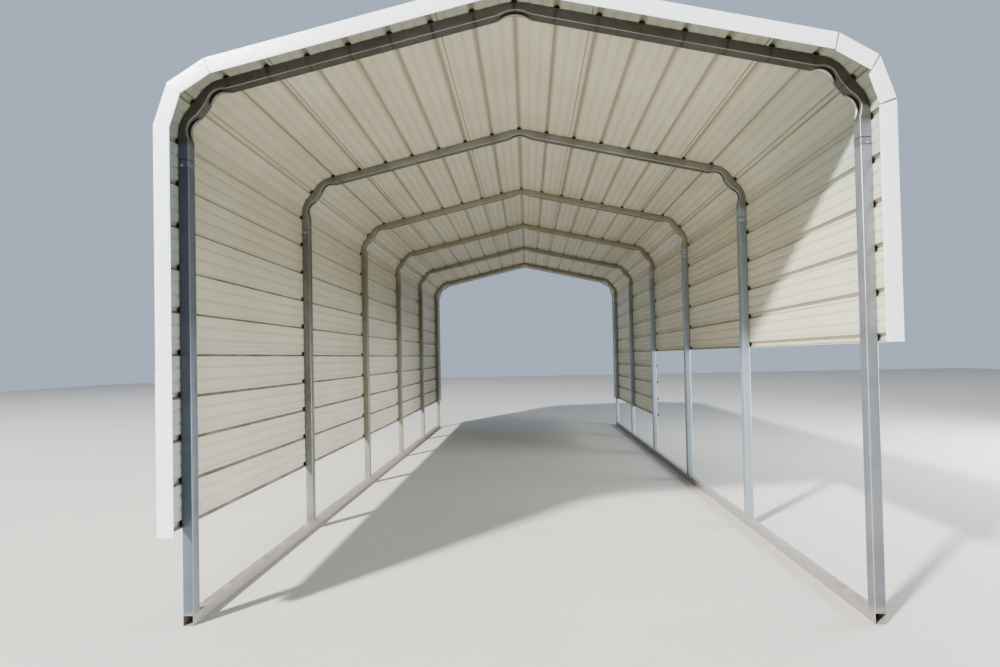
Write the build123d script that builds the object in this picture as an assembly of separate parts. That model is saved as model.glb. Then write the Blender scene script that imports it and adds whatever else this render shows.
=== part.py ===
from build123d import *
from collections import namedtuple
import math
import os

# A tube-framed metal carport. Six bent square-tube bows stand on legs over two
# ground rails, and ribbed steel sheets are laid lengthwise over the bows.
# X runs across the bay, +Y from the front to the back, +Z up. The origin is on
# the ground, at the middle of the plan. Sizes are millimetres.

# Square tube of the frame
tube_size = 57.15
tube_wall = 2.66
tube_edge = 2.4

# Frame layout
frame_width = 3657.6
frame_length = 7620.0
bay_count = 5
leg_length = 2438.4
stub_length = 150.0
spigot_length = 120.0
spigot_clearance = 0.5
bow_end_straight = 135.0

# Bends of a bow, as radii of its outer face, and the dent of the bending die
roof_slope = 12.75
corner_bend_radius = 193.0
corner_run = 137.0
ridge_bend_radius = 350.0
crush_depth = 14.0
corner_crush_radius = 95.0
ridge_crush_radius = 150.0
crush_rim_radius = 50.0

# Ribbed sheet: one big rib per pitch and two low ribs in each pan
rib_pitch = 228.6
rib_height = 19.0
rib_base = 44.0
rib_top = 16.0
low_rib_height = 2.5
low_rib_base = 24.0
low_rib_top = 12.0
low_rib_places = (0.345, 0.655)
sheet_thickness = 0.8
sheet_gap = 0.3
sheet_overhang = 152.4
pans_per_sheet = 4
ridge_sheet_pans = 2
bearing_leg = 15.0
lap_gap = 0.1
lap_jog = 6.0
edge_lip = 3.0
short_sheet_bay_count = 2

# Folded edge trim round both open ends. On each side it has three mitred corners:
# one just outside each bend of the bow, and one between them that stands off the sheet
trim_thickness = 1.0
trim_face = 85.0
trim_flange = 60.0
trim_hem = 8.0
trim_seam = 1.2
trim_clearance = 0.2
trim_corner_reach = 14.0
trim_corner_stand_off = 21.0
trim_patch_length = 836.0
trim_patch_lap = 40.0
trim_patch_loose = 1.2

# Sizes worked out from the ones above
slope = math.radians(roof_slope)
corner_turn = (math.pi / 2 - slope) / 2
run_slope = slope + corner_turn
corner_arc = corner_bend_radius * corner_turn
ridge_arc = ridge_bend_radius * slope
roof_straight = (
    frame_width / 2
    - ridge_bend_radius * math.sin(slope)
    - corner_bend_radius * (1 - math.sin(slope))
    - corner_run * math.cos(run_slope)
) / math.cos(slope)
bow_foot = tube_size + leg_length
ridge_height = (
    bow_foot
    + bow_end_straight
    + corner_bend_radius * math.cos(slope)
    + corner_run * math.sin(run_slope)
    + roof_straight * math.sin(slope)
    + ridge_bend_radius * (1 - math.cos(slope))
)
half_width = frame_width / 2
leg_centre = half_width - tube_size / 2
bow_spacing = (frame_length - tube_size) / bay_count
spigot_size = tube_size - 2 * tube_wall - 2 * spigot_clearance
sheet_length = frame_length + 2 * sheet_overhang
frame_front = -frame_length / 2
sheet_front = -sheet_length / 2
lap_lift = sheet_thickness + lap_gap
rib_crest = sheet_gap + rib_height + sheet_thickness + lap_lift
trim_level = rib_crest + trim_clearance + trim_thickness
Piece = namedtuple("Piece", "at point slope length radius")


# The outline: a path over the outer faces of a bow, measured from the ridge.
# A place on it is a distance along the path and a height outside it.
def down(angle):
    """Direction of travel down the path, for a slope in radians."""
    return (math.cos(angle), -math.sin(angle))


def out(angle):
    """Direction away from the building, for a slope in radians."""
    return (math.sin(angle), math.cos(angle))


def moved(point, direction, distance):
    """The point shifted along a direction."""
    return (point[0] + distance * direction[0], point[1] + distance * direction[1])


def step(piece, travel):
    """Point and slope after some travel on a piece of the path."""
    if piece.radius is None:
        return moved(piece.point, down(piece.slope), travel), piece.slope
    angle = piece.slope + travel / piece.radius
    centre = moved(piece.point, out(piece.slope), -piece.radius)
    return moved(centre, out(angle), piece.radius), angle


def lay_path():
    """Straight and bent pieces of the path from the ridge to the ground."""
    plan = [
        (ridge_arc, ridge_bend_radius),
        (roof_straight, None),
        (corner_arc, corner_bend_radius),
        (corner_run, None),
        (corner_arc, corner_bend_radius),
        (bow_foot + bow_end_straight, None),
    ]
    pieces, at, point, angle = [], 0.0, (0.0, ridge_height), 0.0
    for length, radius in plan:
        pieces.append(Piece(at, point, angle, length, radius))
        point, angle = step(pieces[-1], length)
        at += length
    return pieces


path = lay_path()
path_joints = sorted(sign * piece.at for piece in path[1:] for sign in (-1, 1))
bow_foot_at = path[-1].at + bow_end_straight


def piece_at(at):
    """Piece of the path that holds a place."""
    return [piece for piece in path if piece.at <= abs(at)][-1]


def spot(at, height):
    """Point of the upright plane through the origin, for a place on the path."""
    piece = piece_at(at)
    point, angle = step(piece, abs(at) - piece.at)
    x, z = moved(point, out(angle), height)
    return (x if at >= 0 else -x, 0.0, z)


def along_path(start, end, height):
    """Edges that follow the path at one height."""
    stops = [start] + [at for at in path_joints if start < at < end] + [end]
    edges = []
    for a, b in zip(stops, stops[1:]):
        middle = (a + b) / 2
        if piece_at(middle).radius is None:
            edges.append(Line(spot(a, height), spot(b, height)))
        else:
            edges.append(ThreePointArc(spot(a, height), spot(middle, height), spot(b, height)))
    return edges


# Square tubes
def tube_section():
    """Hollow square section with eased outer corners."""
    core = tube_size - 2 * tube_wall
    outside = Rectangle(tube_size, tube_size)
    return chamfer(outside.vertices(), tube_edge) - Rectangle(core, core)


def spigot_section():
    """Hollow square section that slides inside the tube."""
    core = spigot_size - 2 * tube_wall
    return Rectangle(spigot_size, spigot_size) - Rectangle(core, core)


def bow_centre(number):
    """Y of the middle of a frame's tube, counted from 1 at the front."""
    return frame_front + tube_size / 2 + (number - 1) * bow_spacing


def ground_rail(side):
    """Rail on the ground that carries one row of legs, open at both ends."""
    start = Plane((side * leg_centre, frame_front, tube_size / 2), x_dir=(1, 0, 0), z_dir=(0, 1, 0))
    return extrude(start * tube_section(), amount=frame_length)


def leg(number, side):
    """Leg that stands on the ground rail."""
    foot = Plane((side * leg_centre, bow_centre(number), tube_size))
    return extrude(foot * tube_section(), amount=leg_length)


def rail_stubs(side):
    """Short tubes welded on a rail, one inside the foot of each leg."""
    stubs = []
    for number in range(1, bay_count + 2):
        foot = Plane((side * leg_centre, bow_centre(number), tube_size))
        stubs.append(extrude(foot * spigot_section(), amount=stub_length))
    return Compound(children=stubs)


# Bows
def on_bend(middle, radius, beside, above):
    """Point near a bend, measured from its centre beside and along its middle line."""
    x, _, z = spot(middle, -radius)
    piece = piece_at(middle)
    angle = step(piece, abs(middle) - piece.at)[1]
    over, rise = out(angle)
    way = (rise, -over) if middle >= 0 else (rise, over)
    over = over if middle >= 0 else -over
    return (x + beside * way[0] + above * over, 0.0, z + beside * way[1] + above * rise)


def dent(start, end, bend_radius, dent_radius, inset):
    """Inner edge across one bend, pushed outwards: a rim, the dent and a rim.

    Returns the places on the path where the rims begin and end, and the three arcs.
    """
    middle, half = (start + end) / 2, (end - start) / bend_radius / 2
    inner = bend_radius - tube_size + inset
    deep, rim = dent_radius + inset, crush_rim_radius - inset
    lift = inner + crush_depth - deep
    rise = inner + rim - lift * math.cos(half)
    run = math.sqrt((deep + rim) ** 2 - rise ** 2) - lift * math.sin(half)
    rim_u = (inner + rim) * math.sin(half) + run * math.cos(half)
    rim_v = (inner + rim) * math.cos(half) - run * math.sin(half)
    tilt = math.atan2(rim_u, rim_v - lift)
    inside = (deep * math.sin(tilt), lift + deep * math.cos(tilt))
    turn = (tilt + half) / 2
    waist = (rim_u - rim * math.sin(turn), rim_v - rim * math.cos(turn))
    height = inset - tube_size
    arcs = []
    for sign, edge in ((-1, start - run), (1, end + run)):
        arcs.append(ThreePointArc(
            spot(edge, height),
            on_bend(middle, bend_radius, sign * waist[0], waist[1]),
            on_bend(middle, bend_radius, sign * inside[0], inside[1]),
        ))
    arcs.append(ThreePointArc(
        on_bend(middle, bend_radius, -inside[0], inside[1]),
        spot(middle, height + crush_depth),
        on_bend(middle, bend_radius, inside[0], inside[1]),
    ))
    return start - run, end + run, arcs


def crushed_line(inset):
    """Inner edge of a bow: the die has pushed it outwards at every bend."""
    bends = [(-ridge_arc, ridge_arc, ridge_bend_radius, ridge_crush_radius)]
    for piece in (path[2], path[4]):
        start, end = piece.at, piece.at + piece.length
        bends.append((start, end, piece.radius, corner_crush_radius))
        bends.append((-end, -start, piece.radius, corner_crush_radius))
    edges, at = [], -bow_foot_at
    for bend in sorted(bends):
        start, end, arcs = dent(*bend, inset)
        edges += along_path(at, start, inset - tube_size) + arcs
        at = end
    return edges + along_path(at, bow_foot_at, inset - tube_size)


def bow_face(inset):
    """Side view of a bow, drawn smaller by an inset all round but for its feet."""
    outer = along_path(-bow_foot_at, bow_foot_at, -inset)
    inner = crushed_line(inset)
    feet = [
        Line(spot(side * bow_foot_at, -inset), spot(side * bow_foot_at, inset - tube_size))
        for side in (-1, 1)
    ]
    return make_face(outer + inner + feet)


def bow_blank():
    """One bow at Y = 0: a crushed square tube with a thinner spigot at each foot."""
    tube = extrude(bow_face(0.0), amount=tube_size / 2, dir=(0, 1, 0), both=True)
    long_edges = [
        edge for edge in tube.edges()
        if abs(abs(edge.center().Y) - tube_size / 2) < 0.01 and edge.center().Z > bow_foot + 1.0
    ]
    tube = chamfer(long_edges, tube_edge)
    tube -= extrude(bow_face(tube_wall), amount=tube_size / 2 - tube_wall, dir=(0, 1, 0), both=True)
    for side in (-1, 1):
        tip = Plane((side * leg_centre, 0, bow_foot - spigot_length))
        tube += extrude(tip * spigot_section(), amount=spigot_length)
        tube += extrude(tip.offset(spigot_length) * swage_section(), amount=tube_wall)
    return tube


def swage_section():
    """Ring that joins the foot of a bow to its narrower spigot."""
    core = spigot_size - 2 * tube_wall
    rim = tube_size - tube_wall
    return Rectangle(rim, rim) - Rectangle(core, core)


# Ribbed sheets, drawn flat as (along, height) pairs and bent over the path
def parallel(points, distance):
    """Open flat polyline offset upwards, with mitred corners."""
    ways = []
    for a, b in zip(points, points[1:]):
        length = math.dist(a, b)
        ways.append((-(b[1] - a[1]) / length, (b[0] - a[0]) / length))
    line = [moved(points[0], ways[0], distance)]
    for point, n0, n1 in zip(points[1:], ways, ways[1:]):
        share = 1.0 + n0[0] * n1[0] + n0[1] * n1[1]
        line.append(moved(point, (n0[0] + n1[0], n0[1] + n1[1]), distance / share))
    line.append(moved(points[-1], ways[-1], distance))
    return line


def rib_points(rib, base, top, height):
    """Corners of a rib on the flat sheet."""
    middle = rib * rib_pitch
    return [
        (middle - base / 2, sheet_gap),
        (middle - top / 2, sheet_gap + height),
        (middle + top / 2, sheet_gap + height),
        (middle + base / 2, sheet_gap),
    ]


def low_ribs(rib):
    """The low ribs of the pan that follows a rib."""
    points = []
    for place in low_rib_places:
        points += rib_points(rib + place, low_rib_base, low_rib_top, low_rib_height)
    return points


def covering_rib(rib):
    """Rib that lies over the upper edge of the next sheet down."""
    below = rib_points(rib, rib_base, rib_top, rib_height)
    start = (below[0][0] - bearing_leg - edge_lip, sheet_gap)
    end = (below[3][0] + edge_lip, sheet_gap)
    lifted = parallel([start] + below + [end], lap_lift)
    return [(lifted[0][0] - lap_jog, sheet_gap)] + lifted


def flat_sheet(first, last, covers):
    """Inner face of a flat sheet between two ribs right of the ridge."""
    full = rib_points(first, rib_base, rib_top, rib_height)
    points = full[2:] if first == 0 else [(full[0][0] - bearing_leg, sheet_gap)] + full
    for rib in range(first, last):
        points += low_ribs(rib)
        if rib + 1 < last:
            points += rib_points(rib + 1, rib_base, rib_top, rib_height)
    if covers:
        return points + covering_rib(last)
    full = rib_points(last, rib_base, rib_top, rib_height)
    return points + full + [(full[3][0] + edge_lip, sheet_gap)]


def bent_edges(points):
    """A flat polyline bent over the path."""
    edges = []
    for a, b in zip(points, points[1:]):
        if abs(a[1] - b[1]) < 1e-6:
            edges += along_path(a[0], b[0], a[1])
        else:
            edges.append(Line(spot(*a), spot(*b)))
    return edges


def sheet(first, last, side=1, covers=True, start=sheet_front, end=-sheet_front):
    """A ribbed sheet from rib to rib, on one side or over the ridge."""
    inner = flat_sheet(first, last, covers)
    if first == 0:
        inner = [(-at, height) for at, height in reversed(inner)] + inner
    outer = parallel(inner, sheet_thickness)
    ends = [Line(spot(*inner[0]), spot(*outer[0])), Line(spot(*inner[-1]), spot(*outer[-1]))]
    section = make_face(bent_edges(inner) + bent_edges(outer) + ends)
    solid = extrude(section, amount=end - start, dir=(0, 1, 0)).moved(Location((0, start, 0)))
    return solid if side > 0 else solid.mirror(Plane.YZ)


def sheet_foot(last_rib):
    """Height of the lower edge of the wall sheeting that ends at a rib."""
    return spot(last_rib * rib_pitch + rib_base / 2 + edge_lip, 0.0)[2]


# Edge trim: straight folded strips between corners that lie on the ribs
def trim_corners():
    """Corners of the trim's outer fold on the right: ridge, three ribs, ground."""
    places = [
        (path[2].at - trim_corner_reach, trim_level),
        (path[3].at + corner_run / 2, trim_level + trim_corner_stand_off),
        (path[5].at + trim_corner_reach, trim_level),
    ]
    points = [(x, z) for x, _, z in (spot(at, level) for at, level in places)]
    peak = (0.0, points[0][1] + points[0][0] * math.tan(slope))
    return [peak] + points + [(points[-1][0], 0.0)]


def trim_band(place, depth, foot, top):
    """Ends of a trim strip's line at some depth inside its outer fold."""
    corners = trim_corners()
    mirrored = [(-x, z) for x, z in reversed(corners[1:])] + corners
    line = parallel(mirrored, -depth)[len(corners) - 1:]
    a, b = line[place], line[place + 1]
    length = math.dist(a, b)
    way = ((b[0] - a[0]) / length, (b[1] - a[1]) / length)
    a, b = moved(a, way, trim_seam / 2), moved(b, way, -trim_seam / 2)
    if top is not None:
        a = (a[0], top)
    if foot is not None:
        b = (b[0], foot)
    return a, b


def trim_strip(place, end, back, foot=None, top=None, loose=0.0):
    """One straight length of trim, from the corner with that number down.

    end is the Y of the sheets' edge and back points from it along the sheets.
    A loose strip is larger all round, to slip over another one.
    """
    def bar(outer, inner, near, far):
        a, b = trim_band(place, outer, foot, top)
        c, d = trim_band(place, inner, foot, top)
        face = make_face(Polyline([(x, 0.0, z) for x, z in (a, b, d, c)], close=True))
        return extrude(face, amount=far - near, dir=(0, 1, 0)).moved(Location((0, near, 0)))

    skin, depth = trim_thickness, trim_face + loose
    plate = bar(-loose, depth, 0.0, skin)
    flange = bar(-loose, skin - loose, 0.0, trim_flange)
    strip = plate + flange
    if not loose:
        strip += bar(depth - trim_hem, depth, 0.0, 2 * skin)
    strip = strip.moved(Location((0, -sheet_gap - skin - loose, 0)))
    if back < 0:
        strip = strip.mirror(Plane.XZ)
    return strip.moved(Location((0, end, 0)))


def trim_nodes(name, end, back, feet):
    """Edge trim of one open end, as named nodes. feet gives the last rib by side."""
    nodes = {}
    for side, word in ((-1, "left"), (1, "right")):
        foot = sheet_foot(feet[side])
        patched = name == "front" and side < 0
        patch_top = foot + trim_patch_length
        wall_end = patch_top - trim_patch_lap if patched else foot
        strips = {
            "roof": [trim_strip(0, end, back)],
            "corner": [trim_strip(1, end, back), trim_strip(2, end, back)],
            "wall": [trim_strip(3, end, back, foot=wall_end)],
        }
        if patched:
            strips["wall_lower"] = [trim_strip(3, end, back, foot, patch_top, trim_patch_loose)]
        for part, solids in strips.items():
            solids = solids if side > 0 else [solid.mirror(Plane.YZ) for solid in solids]
            single = len(solids) == 1
            nodes[f"{name}_trim_{word}_{part}"] = solids[0] if single else Compound(children=solids)
    return nodes


# The whole carport
def frame_nodes():
    """Rails, stubs, legs and bows."""
    nodes = {}
    blank = bow_blank()
    for number in range(1, bay_count + 2):
        nodes[f"bow_{number}"] = blank.moved(Location((0, bow_centre(number), 0)))
    for side, word in ((-1, "left"), (1, "right")):
        nodes[f"ground_rail_{word}"] = ground_rail(side)
        nodes[f"rail_stubs_{word}"] = rail_stubs(side)
        for number in range(1, bay_count + 2):
            nodes[f"leg_{word}_{number}"] = leg(number, side)
    return nodes


def sheet_nodes():
    """Roof and wall sheets, each lapped over the one below it."""
    roof_end = ridge_sheet_pans + pans_per_sheet
    corner_end = roof_end + pans_per_sheet
    upper_end = corner_end + pans_per_sheet
    lower_end = upper_end + pans_per_sheet
    nodes = {"roof_sheet_ridge": sheet(0, ridge_sheet_pans)}
    for side, word in ((-1, "left"), (1, "right")):
        nodes[f"roof_sheet_{word}"] = sheet(ridge_sheet_pans, roof_end, side)
        nodes[f"corner_sheet_{word}"] = sheet(roof_end, corner_end, side)
        nodes[f"wall_sheet_{word}_upper"] = sheet(corner_end, upper_end, side)
    nodes["wall_sheet_left_lower"] = sheet(upper_end, lower_end, -1, covers=False)
    first_frame = bay_count + 1 - short_sheet_bay_count
    short_start = bow_centre(first_frame) - tube_size / 2
    nodes["wall_sheet_right_lower"] = sheet(upper_end, lower_end, 1, covers=False, start=short_start)
    return nodes


def build():
    """Every node of the carport by name."""
    last = ridge_sheet_pans + 4 * pans_per_sheet
    nodes = frame_nodes() | sheet_nodes()
    nodes |= trim_nodes("front", sheet_front, 1, {-1: last, 1: last - pans_per_sheet})
    nodes |= trim_nodes("back", -sheet_front, -1, {-1: last, 1: last})
    return nodes


os.makedirs("parts", exist_ok=True)
for name, shape in build().items():
    export_step(shape, f"parts/{name}.step")
print("half width", round(half_width, 1), "ridge", round(ridge_height, 1))
print("first bend above rib 9 by", round(2 * rib_pitch * 4.5 - path[5].at, 1))
print("feet of the sheets", [round(sheet_foot(rib), 1) for rib in (14, 18)])
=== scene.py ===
"""Looks of an open metal carport: square-tube bows on legs and ground rails, ribbed
painted sheets bent over the bows, and a folded edge trim round both open ends.

Everything is in metres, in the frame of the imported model: X across the bay, +Y from the
front to the back, +Z up, with the origin on the ground at the middle of the plan.
"""

import functools
import logging
import math
from dataclasses import dataclass, field
from enum import Enum
from typing import Any, Iterable

import bpy
import numpy as np
from mathutils import Matrix, Vector


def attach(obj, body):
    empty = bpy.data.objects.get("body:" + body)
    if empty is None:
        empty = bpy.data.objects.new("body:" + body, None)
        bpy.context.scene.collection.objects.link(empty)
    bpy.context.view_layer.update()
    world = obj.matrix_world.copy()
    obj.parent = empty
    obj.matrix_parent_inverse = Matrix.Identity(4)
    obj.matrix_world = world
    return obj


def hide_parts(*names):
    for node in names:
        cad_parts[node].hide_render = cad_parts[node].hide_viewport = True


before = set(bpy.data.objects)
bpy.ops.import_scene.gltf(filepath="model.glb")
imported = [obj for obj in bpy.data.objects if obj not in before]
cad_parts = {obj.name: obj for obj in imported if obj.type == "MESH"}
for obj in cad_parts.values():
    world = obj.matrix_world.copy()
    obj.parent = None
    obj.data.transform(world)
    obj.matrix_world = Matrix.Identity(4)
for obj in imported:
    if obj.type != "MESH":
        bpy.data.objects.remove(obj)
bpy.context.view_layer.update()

log = logging.getLogger("carport")
BODY = "root"
# Share of a straight piece that a bend beside it may use
BEND_ROOM = 0.45
# Half of a corner's angle, in radians, from which the corner counts as straight
STRAIGHT_HALF = 1.55
# Lengths in metres that count as nothing in a bend, along a line and along the outline
NO_BEND, NO_LENGTH, NO_STEP = 1e-6, 1e-9, 1e-12
# Decimals that tell two cuts of a line apart
CUT_DECIMALS = 6
# Angle in degrees over which the edges of tube and trim stay sharp
CREASE = 40.0
Pair = tuple[float, float]
Triple = tuple[float, float, float]
Colour = tuple[float, float, float]
# Scale, detail and roughness
Noise = tuple[float, float, float]
# Low and high value, and the results there
Ramp = tuple[float, float, float, float]
# Where a share starts and ends to rise, and where it starts and ends to fall
Band = tuple[float, float, float, float]
Array, Socket, Mesh = np.ndarray, bpy.types.NodeSocket, bpy.types.Mesh
Material, Piece = bpy.types.Material, bpy.types.Object


class Side(Enum):
    """Which half of the carport a piece is on, with the sign of its X."""

    LEFT = -1
    RIGHT = 1

    @property
    def word(self) -> str:
        """The side's name as the nodes spell it."""
        return self.name.lower()


class End(Enum):
    """Which open end a trim closes, with the sign of the way into the building."""

    FRONT = 1
    BACK = -1

    @property
    def word(self) -> str:
        """The end's name as the nodes spell it."""
        return self.name.lower()


# Shared helpers
def rounded(points: list[Pair], radius: float, cuts: int) -> Array:
    """Rounds the inner corners of an open flat line.

    Args:
        points: corners of the line.
        radius: radius of each bend, smaller where the line is too short for it.
        cuts: straight pieces that stand for a bend.

    Returns:
        The line as rows of two numbers.
    """
    corner = [np.array(p, float) for p in points]
    line = [corner[0]]
    for before, here, after in zip(corner, corner[1:], corner[2:]):
        back, on = before - here, after - here
        room = min(np.hypot(*back), np.hypot(*on)) * BEND_ROOM
        back, on = back / np.hypot(*back), on / np.hypot(*on)
        half = math.acos(float(np.clip(back @ on, -1, 1))) / 2
        reach = min(radius / math.tan(half), room) if half < STRAIGHT_HALF else 0.0
        if reach < NO_BEND:
            line.append(here)
            continue
        bend = reach * math.tan(half)
        middle = here + (back + on) / np.hypot(*(back + on)) * bend / math.sin(half)
        start, end = here + back * reach - middle, here + on * reach - middle
        turn = math.atan2(start[0] * end[1] - start[1] * end[0], float(start @ end))
        for share in np.linspace(0, 1, cuts + 1):
            c, s = math.cos(turn * share), math.sin(turn * share)
            line.append(middle + np.array((c * start[0] - s * start[1],
                                           s * start[0] + c * start[1])))
    line.append(corner[-1])
    return np.array(line)


def beside(line: Array, distance: float) -> Array:
    """Shifts an open flat line sideways, with mitred corners.

    Args:
        line: rows of two numbers.
        distance: how far the line is shifted to its left.

    Returns:
        The shifted line.
    """
    ways = np.diff(line, axis=0)
    ways /= np.hypot(ways[:, 0], ways[:, 1])[:, None]
    left = np.stack((-ways[:, 1], ways[:, 0]), 1)
    before, after = np.vstack((left[:1], left)), np.vstack((left, left[-1:]))
    share = 1 + (before * after).sum(1)
    return line + (before + after) * (distance / share)[:, None]


def split_long(line: Array, longest: float, spans: Iterable[Pair]) -> Array:
    """Cuts the pieces of a line that cross some spans of its first axis into short ones.

    Args:
        line: rows of two numbers.
        longest: greatest length of a piece in a span.
        spans: start and end of each span.

    Returns:
        The line with the cuts.
    """
    points = [line[0]]
    for a, b in zip(line, line[1:]):
        low, high = min(a[0], b[0]), max(a[0], b[0])
        stops = {0.0, 1.0}
        for start, end in spans:
            if high - low < NO_LENGTH or start >= high or end <= low:
                continue
            first, last = max(start, low), min(end, high)
            for at in np.linspace(first, last, max(2, math.ceil((last - first) / longest) + 1)):
                stops.add(round(float((at - a[0]) / (b[0] - a[0])), CUT_DECIMALS))
        points += [a + (b - a) * share for share in sorted(stops)[1:]]
    return np.array(points)


def grid_faces(rings: int, points: int, looped: bool = False) -> list[tuple[int, ...]]:
    """Quads between closed rings of points.

    Args:
        rings: number of rings.
        points: number of points in a ring.
        looped: whether the last ring joins the first one; if not, both ends are capped.

    Returns:
        The point numbers of every face.
    """
    faces = []
    for ring in range(rings if looped else rings - 1):
        here, on = ring * points, (ring + 1) % rings * points
        for point in range(points):
            after = (point + 1) % points
            faces.append((here + point, here + after, on + after, on + point))
    if not looped:
        faces.append(tuple(reversed(range(points))))
        faces.append(tuple(range((rings - 1) * points, rings * points)))
    return faces


def volume(mesh: Mesh) -> float:
    """Signed volume of a closed mesh.

    Args:
        mesh: the mesh.

    Returns:
        Its volume, negative where it is inside out.
    """
    mesh.calc_loop_triangles()
    places = np.empty(len(mesh.vertices) * 3)
    mesh.vertices.foreach_get("co", places)
    corners = np.empty(len(mesh.loop_triangles) * 3, np.int32)
    mesh.loop_triangles.foreach_get("vertices", corners)
    a, b, c = places.reshape(-1, 3)[corners.reshape(-1, 3)].transpose(1, 0, 2)
    return float(np.einsum("ij,ij->i", a, np.cross(b, c)).sum() / 6)


def linked(name: str, data: bpy.types.ID) -> Piece:
    """Puts a new object in the scene.

    Args:
        name: name of the object.
        data: its mesh, lamp or camera.

    Returns:
        The object.
    """
    made = bpy.data.objects.new(name, data)
    bpy.context.scene.collection.objects.link(made)
    return made


def as_piece(name: str, mesh: Mesh, material: Material,
             crease: float) -> Piece:
    """Puts a finished mesh in the scene with smooth shading between its creases.

    Args:
        name: name of the piece.
        mesh: mesh with its place in its points.
        material: its finish.
        crease: angle in degrees over which an edge stays sharp.

    Returns:
        The new object.
    """
    mesh.name = name
    mesh.materials.clear()
    mesh.materials.append(material)
    if volume(mesh) < 0:
        mesh.flip_normals()
    mesh.shade_smooth()
    mesh.set_sharp_from_angle(angle=math.radians(crease))
    return linked(name, mesh)


def add_value(mesh: Mesh, name: str, values: Array) -> None:
    """Stores one number, or one vector, for each point of a mesh.

    Args:
        mesh: the mesh.
        name: name that the finishes and node trees read.
        values: a number or a row of three for each point.
    """
    kind, key = ("FLOAT", "value") if values.ndim == 1 else ("FLOAT_VECTOR", "vector")
    layer = mesh.attributes.new(name, kind, "POINT")
    layer.data.foreach_set(key, values.astype(np.float32).ravel())


def merged(name: str, meshes: list[Mesh]) -> Mesh:
    """Joins several meshes, with what their points carry.

    Args:
        name: name of the joined mesh.
        meshes: the meshes.

    Returns:
        One mesh.
    """
    if len(meshes) == 1:
        return meshes[0]
    holders = [linked(name, mesh) for mesh in meshes]
    with bpy.context.temp_override(active_object=holders[0], selected_objects=holders,
                                   selected_editable_objects=holders, object=holders[0]):
        bpy.ops.object.join()
    mesh = holders[0].data
    bpy.data.objects.remove(holders[0])
    return mesh


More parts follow.
